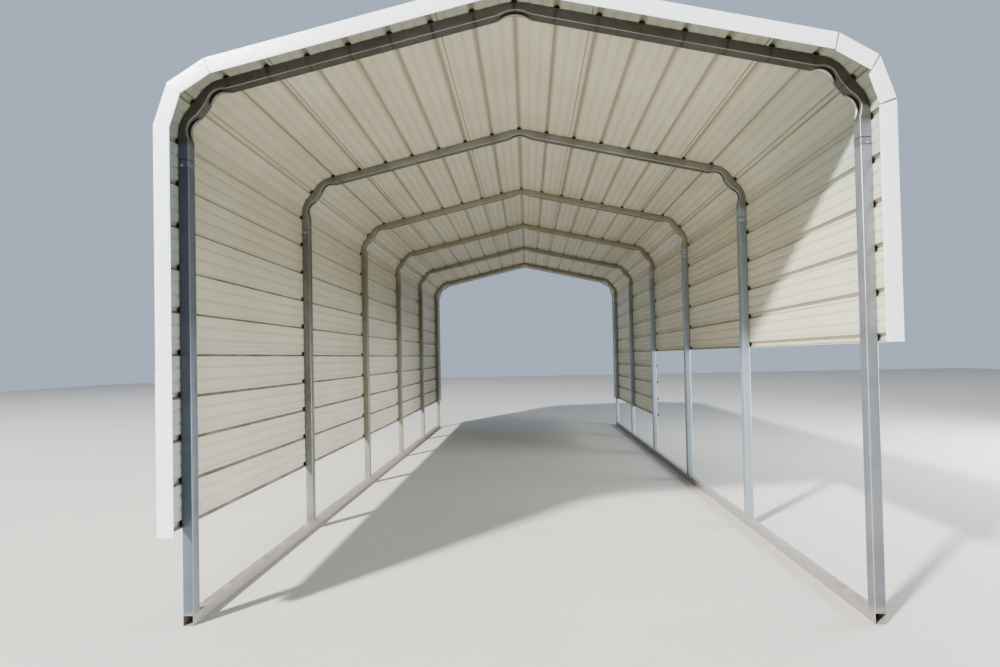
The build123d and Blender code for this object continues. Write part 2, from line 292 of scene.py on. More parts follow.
class NodeTree:
    """A node tree that is being wired up, with short names for the usual nodes."""

    def __init__(self, tree: bpy.types.NodeTree) -> None:
        """Starts from an empty tree."""
        self.tree = tree
        tree.nodes.clear()

    def node(self, kind: str, inputs: dict[Any, Any] | None = None,
             **settings: Any) -> bpy.types.Node:
        """Adds a node.

        Args:
            kind: Blender's name of the node's type.
            inputs: value or socket for each input, by its name or number.
            settings: properties of the node.

        Returns:
            The node.
        """
        made = self.tree.nodes.new(kind)
        for key, value in settings.items():
            setattr(made, key, value)
        for key, value in (inputs or {}).items():
            if isinstance(value, Socket):
                self.tree.links.new(value, made.inputs[key])
            else:
                made.inputs[key].default_value = value
        return made

    def math(self, operation: str, *values: Any) -> Socket:
        """Result of a Math node."""
        return self.node("ShaderNodeMath", dict(enumerate(values)), operation=operation).outputs[0]

    def vector(self, operation: str, *values: Any) -> Socket:
        """Result of a Vector Math node."""
        kind = "ShaderNodeVectorMath"
        return self.node(kind, dict(enumerate(values)), operation=operation).outputs[0]

    def times(self, *values: Any) -> Socket:
        """Product of two numbers or more."""
        return functools.reduce(functools.partial(self.math, "MULTIPLY"), values)

    def plus(self, *values: Any) -> Socket:
        """Sum of two numbers or more."""
        return functools.reduce(functools.partial(self.math, "ADD"), values)

    def less(self, value: Any, taken: Any) -> Socket:
        """A number less another one."""
        return self.math("SUBTRACT", value, taken)

    def either(self, *values: Any) -> Socket:
        """The greatest of two numbers or more."""
        return functools.reduce(functools.partial(self.math, "MAXIMUM"), values)

    def size_of(self, value: Any) -> Socket:
        """A number without its sign."""
        return self.math("ABSOLUTE", value)

    def scaled(self, vector: Socket, scale: Triple) -> Socket:
        """A vector with each of its parts multiplied."""
        return self.vector("MULTIPLY", vector, scale)

    def joined(self, x: Any, y: Any, z: Any) -> Socket:
        """A vector of three numbers."""
        return self.node("ShaderNodeCombineXYZ", {0: x, 1: y, 2: z}).outputs[0]

    def parts(self, vector: Socket) -> Any:
        """The three numbers of a vector."""
        return self.node("ShaderNodeSeparateXYZ", {0: vector}).outputs

    def noise(self, vector: Socket, scale: float, detail: float, roughness: float) -> Socket:
        """Cloudy noise between 0 and 1.

        Args:
            vector: where the noise is read.
            scale: how many clouds lie on a metre.
            detail: how many finer layers are added.
            roughness: how strong the finer layers are.

        Returns:
            The noise's socket.
        """
        return self.node("ShaderNodeTexNoise", {
            "Vector": vector, "Scale": scale, "Detail": detail,
            "Roughness": roughness}).outputs[0]

    def ease(self, value: Any, low: float, high: float, start: float = 0.0,
             end: float = 1.0) -> Socket:
        """Smooth change of a result with a value.

        Args:
            value: the number that the result follows.
            low: value where the change starts.
            high: value where the change ends.
            start: result up to the low value.
            end: result from the high value on.

        Returns:
            The result's socket.
        """
        return self.node("ShaderNodeMapRange", {0: value, 1: low, 2: high, 3: start, 4: end},
                         interpolation_type="SMOOTHSTEP", clamp=True).outputs[0]

    def window(self, value: Any, band: Band) -> Socket:
        """A share that follows a value: up over the band's first flank, down over its second."""
        return self.times(self.ease(value, *band[:2]), self.ease(value, *band[2:], 1.0, 0.0))

    def mix(self, share: Any, a: Any, b: Any) -> Socket:
        """Mixture of two colours.

        Args:
            share: share of the second colour.
            a: first colour.
            b: second colour.

        Returns:
            The mixture's socket.
        """
        first, second = ((*c, 1.0) if isinstance(c, tuple) else c for c in (a, b))
        made = self.node("ShaderNodeMix", {0: share, 6: first, 7: second}, data_type="RGBA")
        return made.outputs[2]

    def laid(self, tone: Socket, colour: Any, *shares: Any) -> Socket:
        """A colour laid over a tone, as dense as the product of some shares."""
        return self.mix(self.times(*shares), tone, colour)

    def blend(self, share: Any, a: Any, b: Any) -> Socket:
        """Mixture of two numbers."""
        return self.node("ShaderNodeMix", {0: share, 2: a, 3: b}, data_type="FLOAT").outputs[0]

    def value(self, name: str) -> Socket:
        """A number stored on the piece's points."""
        return self.node("ShaderNodeAttribute", attribute_name=name).outputs["Fac"]


class Surface(NodeTree):
    """Node tree of a material, with its shader and what a finish reads of the piece."""

    def __init__(self, material: Material) -> None:
        """Starts from a shader that is linked to the output.

        Args:
            material: the material.
        """
        material.use_nodes = True
        super().__init__(material.node_tree)
        self.shader = self.node("ShaderNodeBsdfPrincipled")
        output = self.node("ShaderNodeOutputMaterial", {"Surface": self.shader.outputs[0]})
        output.is_active_output = True
        given = self.node("ShaderNodeTexCoord").outputs
        self.place, self.normal = given["Object"], given["Normal"]
        self.across, self.along, self.up = self.parts(self.place)

    def finish(self, colour: Socket, rough: Socket, relief: Socket, depth: float,
               metal: float = 0.0) -> None:
        """Links what a finish has worked out to the shader.

        Args:
            colour: socket of the colour.
            rough: socket of the roughness.
            relief: socket of the relief's height.
            depth: metres that a height of 1 stands for.
            metal: share of bare metal.
        """
        bump = self.node("ShaderNodeBump", {"Strength": 1.0, "Distance": depth, "Height": relief})
        self.shader.inputs["Metallic"].default_value = metal
        for name, socket in (("Base Color", colour), ("Roughness", rough),
                             ("Normal", bump.outputs[0])):
            self.tree.links.new(socket, self.shader.inputs[name])


# Finishes
@dataclass(frozen=True)
class Finish:
    """What every surface finish has: its name and the roughness it is built round."""

    name: str
    roughness: float

    def material(self) -> Material:
        """Makes the material.

        Returns:
            The material, with its nodes wired.
        """
        made = bpy.data.materials.new(self.name)
        self.dress(Surface(made))
        return made

    def dress(self, nodes: Surface) -> None:
        """Wires colour, roughness and relief to the shader; each finish has its own way.

        Args:
            nodes: the material's node tree.
        """
        raise NotImplementedError

    def spread(self, nodes: NodeTree, share: Any, low: float, high: float) -> Socket:
        """A roughness that lies between so much below and so much above the finish's own."""
        return nodes.blend(share, self.roughness + low, self.roughness + high)


@dataclass(frozen=True)
class GalvanisedSteel(Finish):
    """Zinc-coated tube: spangle, drawn lines, dust low down, dark joints, painted highlights on the
    corners and dent rims, dirt and painted shade in the dents, and painted shade and reflection
    tints by place.
    """

    zinc: Colour = (0.285, 0.290, 0.278)
    dull: Colour = (0.165, 0.170, 0.160)
    bloom: Colour = (0.42, 0.43, 0.42)
    worn_and_highlit: Colour = (0.50, 0.50, 0.47)
    burnished: Colour = (0.66, 0.645, 0.59)
    oxide_and_shade: Colour = (0.022, 0.019, 0.013)
    olive: Colour = (0.062, 0.058, 0.040)
    slate: Colour = (0.045, 0.060, 0.110)
    painted_sky_blue: Colour = (0.20, 0.235, 0.34)
    warm: Colour = (0.46, 0.40, 0.27)
    cool: Colour = (0.42, 0.50, 0.58)
    dust: Colour = (0.43, 0.385, 0.335)
    metal: float = 0.5
    relief_depth: float = 0.0002
    # the zinc itself
    spangle: float = 0.012
    flakes: Ramp = (0.1, 1.0, 0.0, 0.30)
    flake_relief: float = 0.25
    drawn_stretch: float = 60.0
    drawn_noise: Noise = (3.5, 5.0, 0.65)
    drawn_lines: Ramp = (0.50, 0.80, 0.0, 0.55)
    cloud_noise: Noise = (3.1, 6.0, 0.62)
    clouds: Ramp = (0.32, 0.68, 0.0, 1.0)
    patch_stretch: Triple = (1.0, 1.0, 0.4)
    patch_noise: Noise = (14.0, 6.0, 0.7)
    bloom_patches: Ramp = (0.55, 0.74, 0.0, 0.5)
    bloom_clouds: Ramp = (0.42, 0.66, 0.0, 1.0)
    rough_patches: Ramp = (0.3, 0.7, 0.0, 1.0)
    rough_spread: Pair = (-0.07, 0.16)
    # where the bows, the right legs and the first bow lie
    bow_zone: Ramp = (2.54, 2.60, 0.0, 1.0)
    right_zone: Ramp = (1.68, 1.70, 0.0, 1.0)
    front_zone: Ramp = (-3.74, -3.70, 1.0, 0.0)
    behind_zone: Ramp = (-3.00, -0.60, 0.0, 0.55)
    # painted shade and painted reflection tints on each of them
    olive_face: Ramp = (-3.8086, -3.8056, 0.66, 0.44)
    olive_ridge: Ramp = (0.1, 1.3, 0.74, 1.0)
    olive_under: Ramp = (-0.9, -0.5, 0.40, 0.0)
    blued_legs: Pair = (0.40, 0.22)
    slate_face: Ramp = (-3.8086, -3.8056, 0.50, 0.10)
    slate_legs: Pair = (1.0, 0.25)
    warm_legs: Pair = (0.6, 0.0)
    cool_legs: Ramp = (-3.70, -2.80, 0.0, 0.66)
    cool_front: float = 0.06
    # water from the ribs
    rib_pitch: float = 0.2286
    wet: Ramp = (0.002, 0.014, 1.0, 0.0)
    wet_noise: Noise = (5.3, 3.0, 0.6)
    wet_patches: Ramp = (0.38, 0.62, 0.05, 0.5)
    wet_bows: Pair = (0.22, 1.0)
    # wear and dirt, painted corner highlights, and dirt and painted shade in the dents
    rub_sharpness: float = 3.0
    rub_noise: Noise = (1.1, 3.0, 0.6)
    rubs: Ramp = (0.25, 0.60, 0.40, 0.90)
    rub_dulled: float = 0.40
    rub_smooth: float = 0.12
    dust_rise: Ramp = (0.0, 0.17, 1.0, 0.0)
    dust_noise: Noise = (17.0, 6.0, 0.75)
    dust_ragged: float = 0.95
    dust_cover: Ramp = (0.0, 0.40, 0.0, 0.80)
    dust_relief: float = 0.8
    dirt_rough: float = 0.35
    oxide_cover: float = 0.96

    def dress(self, nodes: Surface) -> None:
        """Wires the zinc.

        Args:
            nodes: the material's node tree.
        """
        place = nodes.place
        flow = nodes.joined(nodes.value("along"),
                            nodes.times(nodes.value("around"), self.drawn_stretch), 0.0)
        cells = nodes.node("ShaderNodeTexVoronoi", {
            "Vector": place, "Scale": 1 / self.spangle, "Randomness": 1.0})
        flake = nodes.node("ShaderNodeSeparateColor", {0: cells.outputs["Color"]}).outputs[0]
        drawn = nodes.noise(flow, *self.drawn_noise)
        cloud = nodes.noise(place, *self.cloud_noise)
        patch = nodes.noise(nodes.scaled(place, self.patch_stretch), *self.patch_noise)
        tone = nodes.mix(nodes.ease(cloud, *self.clouds), self.dull, self.zinc)
        tone = nodes.mix(nodes.ease(flake, *self.flakes), tone, self.zinc)
        tone = nodes.mix(nodes.ease(drawn, *self.drawn_lines), tone, self.dull)
        tone = nodes.laid(tone, self.bloom, nodes.ease(patch, *self.bloom_patches),
                          nodes.ease(cloud, *self.bloom_clouds))
        bow = nodes.ease(nodes.up, *self.bow_zone)
        front = nodes.ease(nodes.along, *self.front_zone)
        tone = self.weathered(nodes, tone, bow, front)
        tone = self.rained_on(nodes, tone, bow, front)
        # a painted highlight along the rounded corners, partly wear, weaker on the first bow under
        # its painted shade
        rub = nodes.times(nodes.math("POWER", nodes.value("edge"), self.rub_sharpness),
                          nodes.ease(nodes.noise(flow, *self.rub_noise), *self.rubs))
        highlight_cut = nodes.times(front, bow, self.rub_dulled)
        tone = nodes.laid(tone, self.worn_and_highlit, rub, nodes.less(1.0, highlight_cut))
        # a painted highlight on the wall behind each dent's trough
        tone = nodes.mix(nodes.value("shine"), tone, self.burnished)
        # dust sticks to what is near the ground
        ragged = nodes.times(nodes.noise(place, *self.dust_noise), self.dust_ragged)
        splash = nodes.ease(nodes.less(nodes.ease(nodes.up, *self.dust_rise), ragged),
                            *self.dust_cover)
        tone = nodes.mix(splash, tone, self.dust)
        # corrosion and old dirt darken the joints; dirt and painted shade darken the dents' troughs
        dark = nodes.value("dark")
        tone = nodes.laid(tone, self.oxide_and_shade, dark, self.oxide_cover)
        rough = self.spread(nodes, nodes.ease(patch, *self.rough_patches), *self.rough_spread)
        rough = nodes.plus(rough, nodes.times(nodes.plus(splash, dark), self.dirt_rough))
        rough = nodes.less(rough, nodes.times(rub, self.rub_smooth))
        relief = nodes.plus(nodes.times(flake, self.flake_relief), drawn,
                            nodes.times(splash, self.dust_relief))
        nodes.finish(tone, rough, relief, self.relief_depth, self.metal)

    def weathered(self, nodes: Surface, tone: Socket, bow: Socket, front: Socket) -> Socket:
        """Tints the tube by where it stands.

        Painted shade darkens the first bow's face to a green-grey and the left leg's face to a
        blue-grey, and a painted sky reflection blues the front legs.
        A painted reflection makes the bows and left legs behind warmer, a painted sky reflection
        makes the right legs paler and bluer, and painted shade darkens the bows' undersides.

        Args:
            nodes: the material's node tree.
            tone: colour of the zinc so far.
            bow: share that is 1 on the bows and 0 below them.
            front: share that is 1 on the first bow and its legs.

        Returns:
            The tinted colour.
        """
        across, depth = nodes.across, nodes.along
        leg = nodes.less(1.0, bow)
        right = nodes.ease(across, *self.right_zone)
        # painted shade on the first bow's face, less of it towards the ridge
        tone = nodes.laid(tone, self.olive, front, nodes.ease(depth, *self.olive_face),
                          nodes.ease(nodes.size_of(across), *self.olive_ridge), bow)
        # painted sky reflection and painted shade on the first bow's legs, most on the left leg's
        # face
        tone = nodes.laid(tone, self.painted_sky_blue, front, leg, nodes.blend(right, *self.blued_legs))
        tone = nodes.laid(tone, self.slate, front, nodes.ease(depth, *self.slate_face), leg,
                          nodes.blend(right, *self.slate_legs))
        # painted reflection of the lit interior, warmer on the bows and left legs further back
        tone = nodes.laid(tone, self.warm, nodes.ease(depth, *self.behind_zone),
                          nodes.either(bow, nodes.blend(right, *self.warm_legs)))
        # painted sky reflection, paler and bluer, on the right legs further back and faintly on the
        # first legs
        pale = nodes.either(nodes.times(right, nodes.ease(depth, *self.cool_legs)),
                            nodes.times(front, self.cool_front))
        tone = nodes.laid(tone, self.cool, leg, pale)
        # painted shade on the faces of the bows that look down
        tilt = nodes.parts(nodes.normal)[2]
        return nodes.laid(tone, self.olive, nodes.ease(tilt, *self.olive_under), bow)

    def rained_on(self, nodes: Surface, tone: Socket, bow: Socket, front: Socket) -> Socket:
        """Stains the bows where water runs off a rib.

        Args:
            nodes: the material's node tree.
            tone: colour of the zinc so far.
            bow: share that is 1 on the bows and 0 below them.
            front: share that is 1 on the first bow and its legs.

        Returns:
            The stained colour.
        """
        crossing = nodes.math("PINGPONG", nodes.value("along"), self.rib_pitch / 2)
        patches = nodes.ease(nodes.noise(nodes.place, *self.wet_noise), *self.wet_patches)
        return nodes.laid(tone, self.oxide_and_shade, nodes.ease(crossing, *self.wet), bow, patches,
                          nodes.blend(front, *self.wet_bows))


@dataclass(frozen=True)
class StonePaint(Finish):
    """Baked paint on the ribbed sheets: dust, runs and scuffs, dark rib lines, painted shade in the
    ribs, painted shadow at the laps, and painted shade and sky tints near the front.
    """

    # the paint's cream tone is partly painted light, the tint of light bounced off brown ground; in
    # the sun the sheets look near white
    paint: Colour = (0.595, 0.562, 0.432)
    faded: Colour = (0.655, 0.628, 0.508)
    dust: Colour = (0.290, 0.268, 0.208)
    dirt_and_shade: Colour = (0.108, 0.098, 0.070)
    overhang_shade: Colour = (0.240, 0.306, 0.276)
    wall_film: Colour = (0.260, 0.385, 0.450)
    shade: Colour = (0.048, 0.051, 0.040)
    run: Colour = (0.250, 0.175, 0.110)
    relief_depth: float = 0.0006
    # the sheets' ribs and laps, and the bows
    pitch: float = 0.2286
    first_lap: int = 2
    lap_every: int = 4
    low_rib: float = 0.0789
    bow_first: float = -3.7814
    bow_spacing: float = 1.51257
    # parts of the sheets, by distance along the outline from the ridge
    bent_zone: Ramp = (1.66, 1.78, 0.0, 1.0)
    wall_zone: Ramp = (1.86, 2.10, 0.0, 1.0)
    right_zone: Ramp = (0.0, 0.1, 0.0, 1.0)
    # the paint itself
    cloud_noise: Noise = (1.7, 5.0, 0.6)
    clouds: Ramp = (0.30, 0.72, 0.0, 1.0)
    cloud_relief: float = 2.0
    mottle_noise: Noise = (26.0, 4.0, 0.6)
    speckles: Ramp = (0.66, 0.80, 0.0, 0.22)
    scuff_stretch: Triple = (70.0, 0.9, 1.0)
    scuff_noise: Noise = (1.0, 4.0, 0.6)
    scuffs: Ramp = (0.58, 0.82, 0.0, 0.09)
    peel_noise: Noise = (420.0, 2.0, 0.5)
    peel_relief: float = 0.10
    rough_mottle: Ramp = (0.3, 0.7, 0.0, 1.0)
    rough_spread: Pair = (-0.05, 0.08)
    dirt_rough: float = 0.4
    # painted shade outside the first bow, and painted bluish sky shade behind its right bend
    film_depth: Ramp = (-3.8414, -3.8014, 1.0, 0.0)
    film_side: Ramp = (1.88, 2.08, 1.0, 0.0)
    film_mottle: Ramp = (0.25, 0.70, 0.48, 0.66)
    sky_shade_depth: Ramp = (-3.7814, -2.1814, 0.42, 0.0)
    sky_shade_band: Band = (1.3, 1.8, 2.15, 2.6)
    # dust on the low ribs and on the pans
    low_rib_dust: Ramp = (0.005, 0.017, 0.15, 0.0)
    pan_band: Band = (-0.100, -0.026, -0.024, -0.020)
    pan_shares: Pair = (0.04, 0.13)
    # runs below the ribs
    run_stretch: Triple = (1.1, 34.0, 1.0)
    run_noise: Noise = (1.0, 4.0, 0.62)
    runs: Ramp = (0.60, 0.78, 0.0, 1.0)
    gate_stretch: Triple = (1.3, 2.4, 1.0)
    gate_noise: Noise = (1.0, 3.0, 0.6)
    gates: Ramp = (0.52, 0.70, 0.0, 1.0)
    run_band: Band = (0.0, 0.004, 0.02, 0.10)
    run_shares: Pair = (0.05, 0.55)
    # dark lines and painted shade in the ribs
    uneven_stretch: Triple = (6.0, 2.6, 1.0)
    uneven_noise: Noise = (2.2, 6.0, 0.68)
    unevenness: Ramp = (0.30, 0.66, 0.62, 1.0)
    ledge_band: Band = (0.005, 0.012, 0.0215, 0.0242)
    ledge_shares: Pair = (0.90, 0.50)
    hollow_band: Band = (-0.013, -0.010, 0.005, 0.013)
    hollow_shares: Pair = (0.80, 0.10)
    hollow_depth: Ramp = (-2.0, 1.5, 1.0, 0.25)
    fold_band: Band = (0.0135, 0.0165, 0.0212, 0.0230)
    fold_zone: Ramp = (1.90, 1.98, 1.0, 0.0)
    fold_share: float = 0.50
    # lap lines
    lap_match: float = 0.1
    lap_band: Band = (-0.0415, -0.0403, -0.0365, -0.0355)
    lap_shares: Pair = (0.92, 0.12)
    lap_stop: Ramp = (3.9, 4.0, 1.0, 0.0)
    # marks beside the bows, and painted shade where the ribs pass over them
    bearing_band: Band = (0.0276, 0.0286, 0.031, 0.044)
    bearing_share: float = 0.25
    cross_near: Ramp = (0.0140, 0.0300, 1.0, 0.0)
    cross_rib: Ramp = (0.014, 0.021, 0.92, 0.0)

    def dress(self, nodes: Surface) -> None:
        """Wires the paint.

        Args:
            nodes: the material's node tree.
        """
        along = nodes.along
        at, inside = nodes.value("at"), nodes.value("inside")
        across = nodes.size_of(at)
        # distance from the nearest rib, positive on the way down
        shifted = nodes.plus(across, self.pitch / 2)
        below = nodes.less(nodes.math("MODULO", shifted, self.pitch), self.pitch / 2)
        near = nodes.math("PINGPONG", nodes.less(along, self.bow_first), self.bow_spacing / 2)
        wall = nodes.ease(across, *self.wall_zone)
        bent = nodes.ease(across, *self.bent_zone)
        right = nodes.ease(at, *self.right_zone)
        flat = nodes.joined(at, along, inside)
        cloud = nodes.noise(flat, *self.cloud_noise)
        mottle = nodes.noise(flat, *self.mottle_noise)
        scuff = nodes.noise(nodes.scaled(flat, self.scuff_stretch), *self.scuff_noise)
        tone = nodes.mix(nodes.ease(cloud, *self.clouds), self.paint, self.faded)
        tone = nodes.mix(nodes.ease(scuff, *self.scuffs), tone, self.dust)
        # painted grey-green shade outside the first bow, bluer on the wall, and painted sky shade
        # inside the front right bend
        overhang_shade = nodes.times(nodes.ease(along, *self.film_depth), nodes.ease(at, *self.film_side),
                           nodes.ease(mottle, *self.film_mottle))
        sky_shade = nodes.times(nodes.ease(along, *self.sky_shade_depth),
                           nodes.window(at, self.sky_shade_band))
        tone = nodes.laid(tone, nodes.mix(wall, self.overhang_shade, self.wall_film),
                          nodes.either(overhang_shade, sky_shade), inside)
        # the flanks of the low ribs hold a little dust
        low = nodes.size_of(nodes.less(nodes.size_of(below), self.low_rib))
        tone = nodes.laid(tone, self.dust, nodes.ease(low, *self.low_rib_dust), inside)
        # thin runs start under a rib and fade on the way down
        wet = nodes.noise(nodes.scaled(flat, self.run_stretch), *self.run_noise)
        gate = nodes.noise(nodes.scaled(flat, self.gate_stretch), *self.gate_noise)
        tone = nodes.laid(tone, self.run, nodes.ease(wet, *self.runs),
                          nodes.ease(gate, *self.gates),
                          nodes.window(below, self.run_band),
                          nodes.blend(wall, *self.run_shares))
        # dust settles on each pan above the rib
        tone = nodes.laid(tone, self.dust, nodes.window(below, self.pan_band),
                          nodes.blend(wall, *self.pan_shares))
        # dust and painted shade in each roof rib, more of it towards the front
        hollow = nodes.times(nodes.window(below, self.hollow_band),
                             nodes.blend(bent, *self.hollow_shares),
                             nodes.ease(along, *self.hollow_depth))
        tone = nodes.laid(tone, self.dust, hollow, inside)
        # painted shade draws both folds of a rib on the bends and on the right wall
        uneven = nodes.noise(nodes.scaled(flat, self.uneven_stretch), *self.uneven_noise)
        uneven = nodes.ease(uneven, *self.unevenness)
        drawn = nodes.either(right, nodes.ease(across, *self.fold_zone))
        tone = nodes.laid(tone, self.dirt_and_shade,
                          nodes.window(nodes.size_of(below), self.fold_band),
                          uneven, bent, drawn, self.fold_share, inside)
        # a dark line on the lower flank of each wall rib, weaker on the right wall
        ledge = nodes.times(nodes.window(below, self.ledge_band), uneven, wall,
                            nodes.blend(right, *self.ledge_shares))
        tone = nodes.laid(tone, self.dirt_and_shade, ledge, inside)
        # a painted shadow line at the upper edge of each lapped sheet
        tone = nodes.laid(tone, self.dirt_and_shade, self.lap_line(nodes, shifted, below, across),
                          nodes.blend(bent, *self.lap_shares), inside)
        # a faint grey line shows where the sheet bears on a bow
        tone = nodes.laid(tone, self.dust, nodes.window(near, self.bearing_band),
                          self.bearing_share, inside)
        # painted shade in the ribs where they pass over a bow
        cross = nodes.times(nodes.ease(near, *self.cross_near),
                            nodes.ease(nodes.size_of(below), *self.cross_rib))
        tone = nodes.laid(tone, self.shade, cross, inside)
        tone = nodes.mix(nodes.ease(mottle, *self.speckles), tone, self.dust)
        rough = self.spread(nodes, nodes.ease(mottle, *self.rough_mottle), *self.rough_spread)
        dirty = nodes.either(ledge, nodes.either(cross, hollow))
        rough = nodes.plus(rough, nodes.times(dirty, self.dirt_rough))
        relief = nodes.plus(nodes.times(nodes.noise(flat, *self.peel_noise), self.peel_relief),
                            nodes.times(cloud, self.cloud_relief))
        nodes.finish(tone, rough, relief, self.relief_depth)

    def lap_line(self, nodes: NodeTree, shifted: Socket, below: Socket,
                 across: Socket) -> Socket:
        """A painted shadow under the upper edge of a lapped sheet, seen as a fine dark line.

        Args:
            nodes: the material's node tree.
            shifted: distance from the ridge, with half a rib pitch added.
            below: distance from the nearest rib, positive on the way down.
            across: distance from the ridge along the outline.

        Returns:
            Share that is 1 on the line.
        """
        rib = nodes.math("FLOOR", nodes.math("DIVIDE", shifted, self.pitch))
        count = nodes.plus(rib, float(self.lap_every - self.first_lap))
        count = nodes.math("MODULO", count, float(self.lap_every))
        lapped = nodes.math("COMPARE", count, 0.0, self.lap_match)
        return nodes.times(nodes.window(below, self.lap_band), lapped,
                           nodes.ease(across, *self.lap_stop))


@dataclass(frozen=True)
class WhitePaint(Finish):
    """Baked white paint on the folded trim: chalky, with dust near its seams and foot, and a
    painted shadow line in each seam.
    """

    paint: Colour = (0.78, 0.80, 0.83)
    chalk: Colour = (0.82, 0.835, 0.855)
    grime: Colour = (0.42, 0.40, 0.36)
    seam_shadow: Colour = (0.06, 0.06, 0.06)
    cloud_noise: Noise = (2.3, 5.0, 0.6)
    clouds: Ramp = (0.3, 0.7, 0.0, 1.0)
    grain_noise: Noise = (34.0, 5.0, 0.65)
    streak_stretch: Triple = (34.0, 34.0, 1.4)
    streak_noise: Noise = (1.0, 5.0, 0.62)
    streaks: Ramp = (0.56, 0.80, 0.0, 0.20)
    streak_height: Ramp = (0.5, 1.3, 0.9, 0.30)
    seam_dust: Ramp = (0.0, 0.020, 1.0, 0.0)
    seam_grain: Ramp = (0.40, 0.80, 0.0, 1.0)
    edge_dust: Ramp = (0.074, 0.086, 0.0, 0.5)
    edge_grain: Ramp = (0.45, 0.70, 0.0, 1.0)
    dust_share: float = 0.25
    speck_noise: Noise = (150.0, 2.0, 0.5)
    specks: Ramp = (0.72, 0.82, 0.0, 0.25)
    seam_line: Ramp = (0.0018, 0.0032, 0.90, 0.0)
    rough_grain: Ramp = (0.3, 0.7, 0.0, 1.0)
    rough_spread: Pair = (-0.06, 0.10)
    peel_noise: Noise = (380.0, 2.0, 0.5)
    peel_relief: float = 0.12
    relief_depth: float = 0.0005

    def dress(self, nodes: Surface) -> None:
        """Wires the paint.

        Args:
            nodes: the material's node tree.
        """
        place = nodes.place
        seam = nodes.value("from_seam")
        cloud = nodes.noise(place, *self.cloud_noise)
        grain = nodes.noise(place, *self.grain_noise)
        tone = nodes.mix(nodes.ease(cloud, *self.clouds), self.paint, self.chalk)
        streak = nodes.noise(nodes.scaled(place, self.streak_stretch), *self.streak_noise)
        tone = nodes.laid(tone, self.grime, nodes.ease(streak, *self.streaks),
                          nodes.ease(nodes.up, *self.streak_height))
        rub = nodes.times(nodes.ease(seam, *self.seam_dust), nodes.ease(grain, *self.seam_grain))
        edge = nodes.times(nodes.ease(nodes.value("depth"), *self.edge_dust),
                           nodes.ease(grain, *self.edge_grain))
        tone = nodes.laid(tone, self.grime, nodes.either(rub, edge), self.dust_share)
        speck = nodes.noise(place, *self.speck_noise)
        tone = nodes.mix(nodes.ease(speck, *self.specks), tone, self.grime)
        # a painted shadow line in each seam and fold
        tone = nodes.mix(nodes.ease(seam, *self.seam_line), tone, self.seam_shadow)
        rough = self.spread(nodes, nodes.ease(grain, *self.rough_grain), *self.rough_spread)
        peel = nodes.times(nodes.noise(place, *self.peel_noise), self.peel_relief)
        nodes.finish(tone, rough, nodes.plus(peel, cloud), self.relief_depth)


@dataclass(frozen=True)
class ScrewCoat(Finish):
    """Coated screw head, dusty round its washer."""

    coat: Colour
    worn: Colour
    metal: float = 0.0
    patch_noise: Noise = (130.0, 4.0, 0.6)
    patches: Ramp = (0.48, 0.68, 0.0, 0.7)
    batch_noise: Noise = (3.0, 2.0, 0.5)
    batches: Ramp = (0.35, 0.65, 0.0, 0.35)
    rough_spread: Pair = (-0.1, 0.2)
    relief_noise: Noise = (700.0, 2.0, 0.5)
    relief_depth: float = 0.0001

    def dress(self, nodes: Surface) -> None:
        """Wires the coat.

        Args:
            nodes: the material's node tree.
        """
        place = nodes.place
        patch = nodes.noise(place, *self.patch_noise)
        batch = nodes.noise(place, *self.batch_noise)
        tone = nodes.mix(nodes.ease(patch, *self.patches), self.coat, self.worn)
        tone = nodes.mix(nodes.ease(batch, *self.batches), tone, self.worn)
        nodes.finish(tone, self.spread(nodes, patch, *self.rough_spread),
                     nodes.noise(place, *self.relief_noise), self.relief_depth, self.metal)


@dataclass(frozen=True)
class PaleFloor(Finish):
    """Plain pale floor of the studio."""

    shade: Colour = (0.52, 0.495, 0.455)
    darker: float = 0.96
    cloud_noise: Noise = (0.5, 4.0, 0.6)
    clouds: Ramp = (0.3, 0.7, 0.0, 1.0)
    rough_spread: Pair = (-0.05, 0.05)
    relief_noise: Noise = (60.0, 3.0, 0.5)
    relief_depth: float = 0.0003

    def dress(self, nodes: Surface) -> None:
        """Wires the floor.

        Args:
            nodes: the material's node tree.
        """
        place = nodes.place
        cloud = nodes.noise(place, *self.cloud_noise)
        dark = tuple(self.darker * part for part in self.shade)
        tone = nodes.mix(nodes.ease(cloud, *self.clouds), dark, self.shade)
        nodes.finish(tone, self.spread(nodes, cloud, *self.rough_spread),
                     nodes.noise(place, *self.relief_noise), self.relief_depth)


